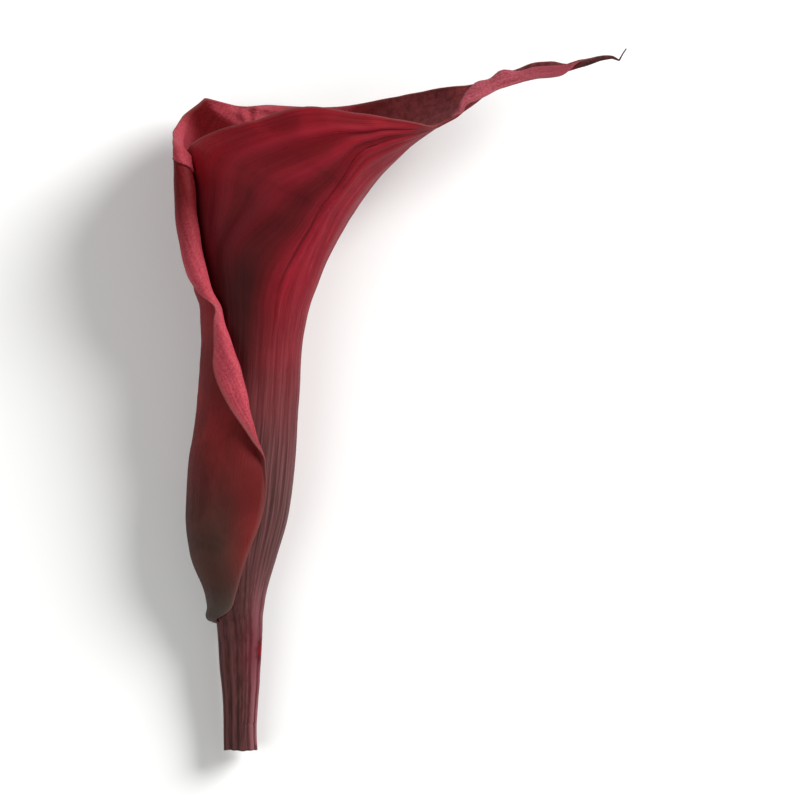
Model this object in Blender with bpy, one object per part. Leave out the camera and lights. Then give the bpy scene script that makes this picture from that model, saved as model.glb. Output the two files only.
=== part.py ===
"""A cut calla lily flower, lying on its side.

The flower is drawn upright first: X to the right, Y along the stem towards the mouth, Z towards the
viewer. An empty then tilts it a little, so that it rests on the belly of its tube and on the back of
its mouth, and sets it on the floor.

The spathe is one leaf rolled into a funnel. Each row of SECTIONS is one cross-section of that leaf.
It starts at the keel, the line down the middle of the leaf's back, and runs round on the near side and
on the far side, each half as part of an ellipse that ends in a rolled-back edge.
"""

import math

import bmesh
import bpy
import numpy as np
from mathutils import Matrix, Vector

MM = 0.001

# How the flower lies: degrees that the mouth end is raised, and how deep its soft back is pressed flat
TILT = 6.0
PRESSED = 0.6

# The spathe: thickness of the leaf, and the mesh that follows it, with its steps from the keel to the roll
# on each side and its steps round the roll, which get at least ROLL_SPACE of the leaf's width
WALL = 0.65
ROW_STEP = 3.4
NEAR_STEPS = 8
FAR_STEPS = 12
ROLL_STEPS = 5
ROLL_SPACE = 2.6
ARC_SAMPLES = 90
ROLL_SAMPLES = 40
LIP_SAMPLES = 12

# One row for each cross-section, from the stem to the tip, in millimetres and degrees. The first stands a
# SEAT_GAP above the stem's shoulder. In each row:
# keel x, keel y, direction from the keel into the mouth,
# near half: half width, depth, angle round the ellipse, roll radius, roll angle, straight lip,
# far half: the same six.
SECTIONS = (
    (4.3, 25.6, 181, 4.6, 4.7, 176, 0.6, 0, 0.0, 5.2, 5.5, 216, 0.6, 0, 0.0),
    (4.4, 26.6, 181, 5.0, 5.0, 175, 0.6, 0, 0.0, 5.8, 6.0, 244, 0.6, 0, 0.0),
    (4.6, 28.4, 181, 5.3, 5.2, 174, 0.6, 0, 0.0, 5.9, 6.3, 259, 0.6, 0, 0.0),
    (5.0, 31.0, 181, 5.7, 5.7, 173, 0.6, 0, 0.0, 6.3, 6.8, 269, 0.6, 0, 0.0),
    (7.2, 38.8, 179, 8.1, 8.0, 171, 0.6, 0, 0.0, 8.7, 9.1, 291, 0.6, 0, 0.0),
    (9.5, 47.0, 177, 9.7, 9.4, 170, 0.6, 0, 0.0, 10.3, 10.7, 298, 0.5, 20, 0.0),
    (10.7, 56.0, 175, 10.2, 9.8, 170, 0.6, 0, 0.0, 10.9, 11.3, 299, 0.5, 100, 0.0),
    (11.1, 61.0, 173.5, 10.0, 9.6, 170, 0.6, 0, 0.0, 10.6, 11.0, 286, 0.8, 150, 1.1),
    (11.4, 67.0, 172, 9.8, 9.4, 170, 0.6, 0, 0.0, 10.4, 10.5, 272, 1.1, 170, 2.9),
    (11.8, 72.4, 171, 9.8, 9.4, 170, 0.6, 0, 0.0, 10.4, 10.5, 260, 1.3, 180, 4.2),
    (12.0, 77.6, 170, 9.8, 9.6, 169, 0.6, 0, 0.0, 10.4, 10.7, 249, 1.3, 185, 3.2),
    (12.4, 82.0, 169.5, 10.1, 10.0, 168, 0.6, 0, 0.0, 10.7, 11.1, 238, 1.0, 170, 1.4),
    (12.9, 84.8, 169, 10.4, 10.4, 168, 0.6, 0, 0.0, 11.0, 11.5, 231, 0.9, 120, 0.4),
    (13.4, 87.2, 168.5, 11.0, 10.9, 168, 0.6, 0, 0.0, 11.6, 12.0, 225, 1.4, 170, 1.0),
    (14.0, 89.4, 167.5, 11.6, 11.4, 167, 0.6, 0, 0.0, 12.2, 12.5, 221, 2.1, 205, 1.0),
    (15.2, 92.6, 165, 12.9, 12.3, 166, 0.6, 0, 0.0, 13.5, 13.4, 218, 2.2, 215, 1.0),
    (16.9, 97.0, 162, 14.8, 13.8, 163, 0.6, 0, 0.0, 15.3, 14.8, 214, 2.2, 215, 1.0),
    (19.3, 101.8, 158, 16.6, 15.4, 163, 0.6, 0, 0.0, 17.3, 16.4, 211, 1.9, 210, 0.8),
    (20.9, 104.6, 155, 17.9, 16.2, 160, 0.6, 0, 0.0, 18.6, 17.1, 205, 1.6, 200, 0.6),
    (21.7, 106.0, 153, 18.2, 16.6, 154, 0.6, 10, 0.0, 18.8, 17.5, 195, 1.2, 170, 0.4),
    (22.5, 107.2, 151, 18.0, 17.0, 145, 0.6, 20, 0.0, 19.1, 17.8, 183, 0.9, 120, 0.0),
    (24.0, 109.5, 146.5, 17.6, 17.4, 126, 0.6, 30, 0.0, 19.1, 18.0, 160, 1.5, 10, 0.0),
    (24.8, 110.6, 145, 16.8, 17.6, 123, 0.6, 30, 0.0, 17.9, 18.1, 139, 2.0, 10, 0.0),
    (26.4, 112.8, 141.5, 16.3, 17.8, 114, 0.6, 35, 0.0, 15.2, 18.2, 122, 1.9, 60, 0.4),
    (28.2, 115.0, 138, 14.8, 17.8, 108, 0.6, 35, 0.0, 13.3, 18.0, 112, 1.8, 65, 0.5),
    (31.4, 118.2, 131, 10.8, 17.0, 91, 0.6, 35, 0.0, 10.7, 17.2, 103, 1.5, 50, 0.3),
    (34.4, 121.0, 124, 5.6, 15.0, 87, 0.6, 25, 0.0, 9.3, 15.2, 97, 1.2, 20, 0.2),
    (36.8, 122.8, 118, 3.4, 13.4, 72, 0.8, 20, 0.0, 8.5, 13.2, 94, 1.0, 0, 0.0),
    (39.4, 124.6, 113, 1.4, 11.0, 55, 0.9, 20, 0.0, 7.3, 11.0, 92, 1.0, 0, 0.0),
    (43.2, 126.6, 110, 1.4, 7.2, 58, 0.9, 60, 0.3, 6.0, 6.8, 92, 1.0, 0, 0.0),
    (46.8, 129.2, 112, 1.5, 3.6, 100, 0.9, 150, 1.4, 4.0, 3.6, 96, 0.8, 0, 0.0),
    (51.2, 132.3, 112, 1.2, 2.0, 98, 0.9, 165, 1.3, 1.6, 2.0, 118, 0.8, 0, 0.0),
    (57.2, 133.9, 103, 1.5, 1.9, 98, 0.9, 165, 1.3, 2.2, 1.9, 115, 0.8, 0, 0.0),
    (62.8, 134.9, 102, 1.5, 1.7, 85, 0.9, 120, 0.6, 2.4, 1.9, 98, 0.8, 0, 0.0),
    (66.2, 136.0, 106, 1.3, 1.5, 60, 0.9, 30, 0.1, 1.5, 1.5, 70, 0.8, 0, 0.0),
    (69.4, 137.0, 102, 1.2, 1.3, 42, 0.9, 0, 0.0, 1.2, 1.3, 45, 0.8, 0, 0.0),
    (72.4, 137.9, 98, 1.2, 1.2, 30, 0.9, 0, 0.0, 1.2, 1.2, 30, 0.8, 0, 0.0),
    (74.6, 138.1, 95, 1.2, 1.2, 26, 0.9, 0, 0.0, 1.2, 1.2, 26, 0.8, 0, 0.0),
    (75.9, 138.2, 115, 1.2, 1.2, 24, 0.9, 0, 0.0, 1.2, 1.2, 24, 0.8, 0, 0.0),
    (76.6, 139.0, 140, 1.2, 1.2, 24, 0.9, 0, 0.0, 1.2, 1.2, 24, 0.8, 0, 0.0),
    (77.2, 140.0, 150, 1.2, 1.2, 22, 0.9, 0, 0.0, 1.2, 1.2, 22, 0.8, 0, 0.0),
)

# The stem: height, middle, radius. It ends in a shoulder, which the spathe stands on, and a neck.
STEM = (
    (0.0, -0.1, 3.15), (0.3, -0.1, 3.3), (4.0, -0.2, 3.25), (10.0, -0.1, 3.5), (13.0, -0.1, 3.75),
    (16.0, -0.2, 4.0), (19.0, -0.2, 4.2), (22.0, -0.2, 4.35), (25.3, -0.3, 4.6),
)
STEM_SIDES = 48
STEM_RIBS = 9
STEM_RIB_HEIGHT = 0.16
STEM_RIB_FADE = 6.0
NECK = ((25.3, 3.4), (28.0, 3.2), (30.4, 3.1))

# The gap between a piece and the one that it sits on
SEAT_GAP = 0.3

# The finger inside the spathe: its curved axis, and for each zone its ends, radii and florets
FINGER_AXIS = ((-0.3, 25.0), (-0.5, 38.0), (0.0, 52.0), (1.2, 66.0), (2.4, 80.0))
OVARY_ZONE = dict(start=NECK[-1][0] + SEAT_GAP, end=43.4, radius=(3.3, 3.9, 3.7), around=10, rows=6, relief=0.5)
ANTHER_ZONE = dict(start=OVARY_ZONE["end"] + SEAT_GAP, end=77.0, radius=(3.6, 3.5, 2.5), around=12, rows=12, relief=0.35)
FLORET_STEPS = 3

# Colour, roughness and metallic value of each piece
BURGUNDY = ((0.17, 0.016, 0.03), 0.5, 0.0)
STEM_BROWN = ((0.12, 0.04, 0.04), 0.55, 0.0)
PALE_GREEN = ((0.42, 0.5, 0.2), 0.5, 0.0)
YELLOW = ((0.75, 0.5, 0.08), 0.6, 0.0)

# Edges sharper than this, in degrees, are not shaded smooth
SHARP = 50


def clear_scene():
    for item in list(bpy.data.objects):
        bpy.data.objects.remove(item, do_unlink=True)


def material(name, finish):
    colour, roughness, metallic = finish
    made = bpy.data.materials.new(name)
    made.use_nodes = True
    shader = made.node_tree.nodes["Principled BSDF"]
    shader.inputs["Base Color"].default_value = (*colour, 1.0)
    shader.inputs["Roughness"].default_value = roughness
    shader.inputs["Metallic"].default_value = metallic
    return made


def smooth_rows(knots, rows, places):
    """Cubic curves through the rows, one for each column, that never swing past a row's value."""
    step = np.diff(knots)
    slope = np.diff(rows, axis=0) / step[:, None]
    before = (step[1:] + 2 * step[:-1])[:, None]
    after = (2 * step[1:] + step[:-1])[:, None]
    same_way = slope[1:] * slope[:-1] > 0
    safe_first = np.where(same_way, slope[:-1], 1.0)
    safe_second = np.where(same_way, slope[1:], 1.0)
    tangent = np.zeros_like(rows)
    tangent[1:-1] = np.where(same_way, (before + after) / (after / safe_first + before / safe_second), 0.0)
    tangent[0] = slope[0]
    tangent[-1] = slope[-1]
    k = np.clip(np.searchsorted(knots, places) - 1, 0, len(knots) - 2)
    width = step[k][:, None]
    t = ((places - knots[k]) / step[k])[:, None]
    return ((2 * t**3 - 3 * t**2 + 1) * rows[k] + (t**3 - 2 * t**2 + t) * width * tangent[k]
            + (3 * t**2 - 2 * t**3) * rows[k + 1] + (t**3 - t**2) * width * tangent[k + 1])


def unit(vector):
    return vector / np.linalg.norm(vector)


def half_section(keel, lean, half, side, steps):
    """Points of one half of a cross-section: even steps from the keel to the roll, and round the roll."""
    width, depth, wrap, radius, sweep, lip = half
    wrap, sweep = math.radians(wrap), math.radians(sweep)
    inward = np.array([math.cos(lean), math.sin(lean), 0.0])
    sideways = np.array([0.0, 0.0, side])
    skin = min(WALL / 2, width / 2)
    width, depth = width - skin, depth - skin
    turn = np.linspace(0.0, wrap, ARC_SAMPLES)[:, None]
    curve = keel + skin * inward + width * (1 - np.cos(turn)) * inward + depth * np.sin(turn) * sideways
    heading = unit(width * math.sin(wrap) * inward + depth * math.cos(wrap) * sideways)
    outward = unit(width * math.sin(wrap) * sideways - depth * math.cos(wrap) * inward)
    roll = np.linspace(0.0, sweep, ROLL_SAMPLES)[1:, None]
    rolled = curve[-1] + radius * ((1 - np.cos(roll)) * outward + np.sin(roll) * heading)
    last = math.sin(sweep) * outward + math.cos(sweep) * heading
    straight = rolled[-1] + np.linspace(0.0, lip, LIP_SAMPLES)[1:, None] * last
    whole = np.vstack([curve, rolled, straight])
    run = np.concatenate([[0.0], np.cumsum(np.linalg.norm(np.diff(whole, axis=0), axis=1))])
    least = min(ROLL_SPACE / run[-1], ROLL_STEPS / (steps + ROLL_STEPS))
    knee = min(run[len(curve) - 1] / run[-1], 1 - least)
    shares = np.concatenate([np.linspace(0.0, knee, steps + 1), np.linspace(knee, 1.0, ROLL_STEPS + 1)[1:]])
    return np.column_stack([np.interp(shares * run[-1], run, whole[:, axis]) for axis in range(3)])


def cross_section(row):
    """Points right across the leaf, from the near margin over the keel to the far margin."""
    keel = np.array([row[0], row[1], 0.0])
    lean = math.radians(row[2])
    near = half_section(keel, lean, row[3:9], 1.0, NEAR_STEPS)
    far = half_section(keel, lean, row[9:15], -1.0, FAR_STEPS)
    return np.vstack([near[::-1], far[1:]])


def leaf_rows():
    """The sections, with as many more between two of them as the distance between them needs."""
    table = np.array(SECTIONS, dtype=float)
    knots = np.concatenate([[0.0], np.cumsum(np.linalg.norm(np.diff(table[:, :2], axis=0), axis=1))])
    sections = [cross_section(row) for row in table]
    places = [knots[0]]
    for k in range(len(knots) - 1):
        apart = np.linalg.norm(sections[k + 1] - sections[k], axis=1).max()
        places.extend(np.linspace(knots[k], knots[k + 1], math.ceil(apart / ROW_STEP) + 1)[1:])
    return smooth_rows(knots, table, np.array(places))


def floor_level():
    """Unit vector up from the floor, in the upright flower's own directions."""
    return np.array([0.0, math.sin(math.radians(TILT)), math.cos(math.radians(TILT))])


def leaf_middle():
    """Grid of points on the middle of the leaf's thickness: rows along the keel, columns across."""
    return np.array([cross_section(row) for row in leaf_rows()])


def skins(grid):
    """Outer and inner face of the leaf, half its thickness to each side of the middle."""
    across = np.gradient(grid, axis=1)
    lengthwise = np.gradient(grid, axis=0)
    normal = np.cross(across, lengthwise)
    normal /= np.linalg.norm(normal, axis=2, keepdims=True)
    return grid + normal * WALL / 2, grid - normal * WALL / 2


def pressed_flat(outer, inner):
    """Press the back of the leaf flat where it lies on the floor, and return the floor's height too."""
    up = floor_level()
    height = outer @ up
    floor = height.min() + PRESSED
    lift = np.maximum(floor - height, 0.0)[..., None] * up
    return outer + lift, inner + lift, floor


def add_object(name, verts, faces, finish, holder):
    mesh = bpy.data.meshes.new(name)
    mesh.from_pydata([tuple(v) for v in verts], [], faces)
    work = bmesh.new()
    work.from_mesh(mesh)
    bmesh.ops.recalc_face_normals(work, faces=work.faces)
    work.to_mesh(mesh)
    work.free()
    mesh.shade_smooth()
    mesh.set_sharp_from_angle(angle=math.radians(SHARP))
    mesh.materials.append(finish)
    made = bpy.data.objects.new(name, mesh)
    bpy.context.scene.collection.objects.link(made)
    made.parent = holder
    return made


def build_spathe(holder, outer, inner):
    rows, columns = outer.shape[:2]
    verts = np.concatenate([outer.reshape(-1, 3), inner.reshape(-1, 3)]) * MM
    back = rows * columns
    faces = []

    def at(row, column):
        return row * columns + column

    for r in range(rows - 1):
        for c in range(columns - 1):
            a, b, d, e = at(r, c), at(r, c + 1), at(r + 1, c + 1), at(r + 1, c)
            for tri in ((a, b, d), (a, d, e)):
                faces.append(tri)
                faces.append(tuple(back + v for v in reversed(tri)))
    rim = [at(0, c) for c in range(columns)] + [at(r, columns - 1) for r in range(1, rows)]
    rim += [at(rows - 1, c) for c in range(columns - 2, -1, -1)] + [at(r, 0) for r in range(rows - 2, 0, -1)]
    for first, second in zip(rim, rim[1:] + rim[:1]):
        faces.append((first, back + first, back + second))
        faces.append((first, back + second, second))
    return add_object("spathe", verts, faces, material("spathe_skin", BURGUNDY), holder)


def tube_faces(rings, sides):
    """Quads between rings, with a fan to one extra point at each end."""
    faces = []
    for r in range(rings - 1):
        for s in range(sides):
            t = (s + 1) % sides
            faces.append((r * sides + s, r * sides + t, (r + 1) * sides + t, (r + 1) * sides + s))
    first, last = rings * sides, rings * sides + 1
    top = (rings - 1) * sides
    for s in range(sides):
        t = (s + 1) % sides
        faces.append((first, t, s))
        faces.append((last, top + s, top + t))
    return faces


def build_stem(holder):
    angles = np.linspace(0.0, 2 * math.pi, STEM_SIDES, endpoint=False)
    ribs = STEM_RIB_HEIGHT * np.cos(STEM_RIBS * angles)
    rings = []
    top = STEM[-1][0]
    for height, middle, radius in STEM:
        fade = min(1.0, (top - height) / STEM_RIB_FADE)
        reach = radius + fade * ribs
        rings.append(np.column_stack([middle + reach * np.cos(angles), np.full(STEM_SIDES, height),
                                      -reach * np.sin(angles)]))
    for height, radius in NECK:
        middle = STEM[-1][1]
        rings.append(np.column_stack([middle + radius * np.cos(angles), np.full(STEM_SIDES, height),
                                      -radius * np.sin(angles)]))
    ends = np.array([rings[0].mean(axis=0), rings[-1].mean(axis=0)])
    verts = np.concatenate(rings + [ends]) * MM
    faces = tube_faces(len(rings), STEM_SIDES)
    return add_object("stem", verts, faces, material("stem_skin", STEM_BROWN), holder)


def finger_axis(heights):
    knots = np.array([height for _, height in FINGER_AXIS])
    middles = np.array([[x] for x, _ in FINGER_AXIS], dtype=float)
    return smooth_rows(knots, middles, heights)[:, 0]


def build_zone(name, holder, zone, finish):
    """One zone of the finger, its florets raised from it as rounded studs in staggered rows."""
    sides = zone["around"] * FLORET_STEPS
    steps = zone["rows"] * FLORET_STEPS
    angles = np.linspace(0.0, 2 * math.pi, sides, endpoint=False)
    share = np.linspace(0.0, 1.0, steps + 1)
    heights = zone["start"] + share * (zone["end"] - zone["start"])
    middles = finger_axis(heights)
    radii = np.interp(share, (0.0, 0.5, 1.0), zone["radius"])
    rings = []
    for fraction, height, middle, radius in zip(share, heights, middles, radii):
        turn = zone["around"] * angles
        climb = math.pi * zone["rows"] * fraction
        stud = 0.5 + 0.5 * np.cos(turn) * math.cos(climb)
        reach = radius + zone["relief"] * (stud - 0.5)
        rings.append(np.column_stack([middle + reach * np.cos(angles), np.full(sides, height),
                                      -reach * np.sin(angles)]))
    ends = np.array([rings[0].mean(axis=0), rings[-1].mean(axis=0)])
    verts = np.concatenate(rings + [ends]) * MM
    return add_object(name, verts, tube_faces(len(rings), sides), material(name + "_skin", finish), holder)


def set_down(holder, pieces, floor):
    """Tilt the flower, stand it on the floor and centre it over the origin."""
    holder.rotation_euler = (math.radians(TILT), 0.0, 0.0)
    turn = Matrix.Rotation(math.radians(TILT), 3, "X")
    corners = [turn @ vert.co for piece in pieces for vert in piece.data.vertices]
    low = Vector([min(c[axis] for c in corners) for axis in range(3)])
    high = Vector([max(c[axis] for c in corners) for axis in range(3)])
    holder.location = (-(low.x + high.x) / 2, -(low.y + high.y) / 2, -floor * MM)


def main():
    clear_scene()
    holder = bpy.data.objects.new("flower", None)
    bpy.context.scene.collection.objects.link(holder)
    outer, inner, floor = pressed_flat(*skins(leaf_middle()))
    pieces = [
        build_spathe(holder, outer, inner),
        build_stem(holder),
        build_zone("spadix_pistillate", holder, OVARY_ZONE, PALE_GREEN),
        build_zone("spadix_staminate", holder, ANTHER_ZONE, YELLOW),
    ]
    set_down(holder, pieces, floor)


main()
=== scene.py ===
"""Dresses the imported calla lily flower: the rolled spathe, the stem and the two zones of the spadix.

The flower is drawn upright first, in millimetres: X to the right, Y along the stem towards the mouth,
Z towards the viewer. It is then tilted and moved to where the frame's stem lies.
"""

import math

import bpy
import numpy as np
from mathutils import Matrix, Vector


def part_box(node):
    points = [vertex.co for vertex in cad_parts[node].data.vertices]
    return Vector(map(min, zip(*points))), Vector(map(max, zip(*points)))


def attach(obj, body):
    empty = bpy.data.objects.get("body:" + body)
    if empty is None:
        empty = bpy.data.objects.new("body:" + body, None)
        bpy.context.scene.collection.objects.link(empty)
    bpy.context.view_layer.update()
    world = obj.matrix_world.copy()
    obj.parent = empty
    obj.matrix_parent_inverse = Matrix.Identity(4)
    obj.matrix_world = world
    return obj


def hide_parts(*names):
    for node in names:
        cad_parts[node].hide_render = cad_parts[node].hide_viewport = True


bl_info = {
    "name": "Calla Lily Flower",
    "version": (1, 0, 0),
    "blender": (4, 5, 0),
    "location": "3D View > Sidebar > Calla Lily",
    "description": "Dresses a cut calla lily flower that lies on its side",
    "category": "Add Mesh",
}

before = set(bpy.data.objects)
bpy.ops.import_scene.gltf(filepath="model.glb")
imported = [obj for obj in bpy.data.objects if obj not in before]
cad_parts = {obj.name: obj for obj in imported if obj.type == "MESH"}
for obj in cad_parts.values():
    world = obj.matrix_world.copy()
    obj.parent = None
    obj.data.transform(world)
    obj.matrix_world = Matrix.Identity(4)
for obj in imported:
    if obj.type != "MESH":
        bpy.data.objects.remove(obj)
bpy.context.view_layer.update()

MM = 0.001
GOLDEN_ANGLE = math.pi * (3 - math.sqrt(5))

# How the flower lies: degrees that its mouth end is raised
TILT = 6.0

# The stem: height, middle, radius, up to the shoulder that carries the spathe, and the neck above it
STEM = (
    (0.0, -0.1, 3.3), (4.0, -0.2, 3.25), (10.0, -0.1, 3.5), (13.0, -0.1, 3.75),
    (16.0, -0.2, 4.0), (19.0, -0.2, 4.2), (22.0, -0.2, 4.35), (25.3, -0.3, 4.6),
)
NECK = ((25.9, 4.1), (28.0, 3.2), (30.4, 3.1))

# The ribs of the stem and of the leaf's foot: on the upper side degrees round from the keel and height,
# and how many even ribs lie on the lower side
UPPER_RIBS = (
    (41.0, 0.8), (50.0, 1.0), (58.0, -1.0), (67.0, -0.1), (82.0, 0.0), (91.0, -0.4), (99.0, -1.0),
    (111.0, 1.0), (124.0, -0.2), (138.6, 1.0), (152.0, -0.7), (168.0, 0.8),
)
LOWER_RIBS = 9

# How much of a rib is those ribs and how much each finer wave: waves round the stem, and where they start
RIB_SHARE = 0.75
FINE_RIB_SHARE = 0.15
FINE_RIBS = ((7, 0.4), (31, 1.0))

# Rings up the neck, the height below the shoulder over which the ribs fade, and the skin's step inwards there
NECK_ROWS = 12
RIB_FADE = 3.0
SHOULDER_INSET = 0.05

# The small nick in the stem's skin: its height, its angle round the stem, its depth, how far it reaches up
# and down, and how its sides fade
NICK_HEIGHT = 5.2
NICK_ANGLE = -0.75
NICK_DEPTH = 0.16
NICK_REACH = 0.25
NICK_SIDES = (0.75, 0.95)

# How uneven the stem's lowest edge is: waves round it, where they start and their height; then its worn
# corner's angle, how high it reaches, how its sides fade, and how far up the stem the wear is felt
CUT_WAVES = ((3, 1.0, 0.12), (11, 0.0, 0.05))
CORNER_ANGLE = -0.25
CORNER_HEIGHT = 0.8
CORNER_SIDES = (0.86, 1.0)
CUT_REACH = 2.2

# The cut face: its rings as shares of the stem's radius, how rough they are, how far the face stands in and
# its middle, how much of the pith's colour its edge takes, and where that colour fades at the worn corner
CUT_RINGS = (0.35, 0.6, 0.8, 0.93)
CUT_ROUGHNESS = 0.22
CUT_CHAMFER = 0.02
CUT_MIDDLE = 0.25
CUT_EDGE = 0.3
CORNER_SKIN = (0.8, 0.4)

# The bruise on the side towards the main lamp, just under the spathe: its middle and its reach
BRUISE_PLACE = (4.1, 20.0, 1.5)
BRUISE_REACH = (1.6, 2.4, 1.9)

# How far right of the stem's middle the painted lit side sets in, where the skin is painted rose as if lit by
# the main lamp
LIT_SIDE_EDGE = (0.0, 4.4)

# The finger inside the spathe: its curved axis
FINGER_AXIS = ((-0.3, 25.0), (-0.5, 38.0), (0.0, 52.0), (1.2, 66.0), (2.4, 80.0))

# Points round the finger under the florets and rings along it, and how much the florets differ in size
FINGER_SIDES = 32
FINGER_ROWS = 24
UNEVENNESS = 0.08

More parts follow.
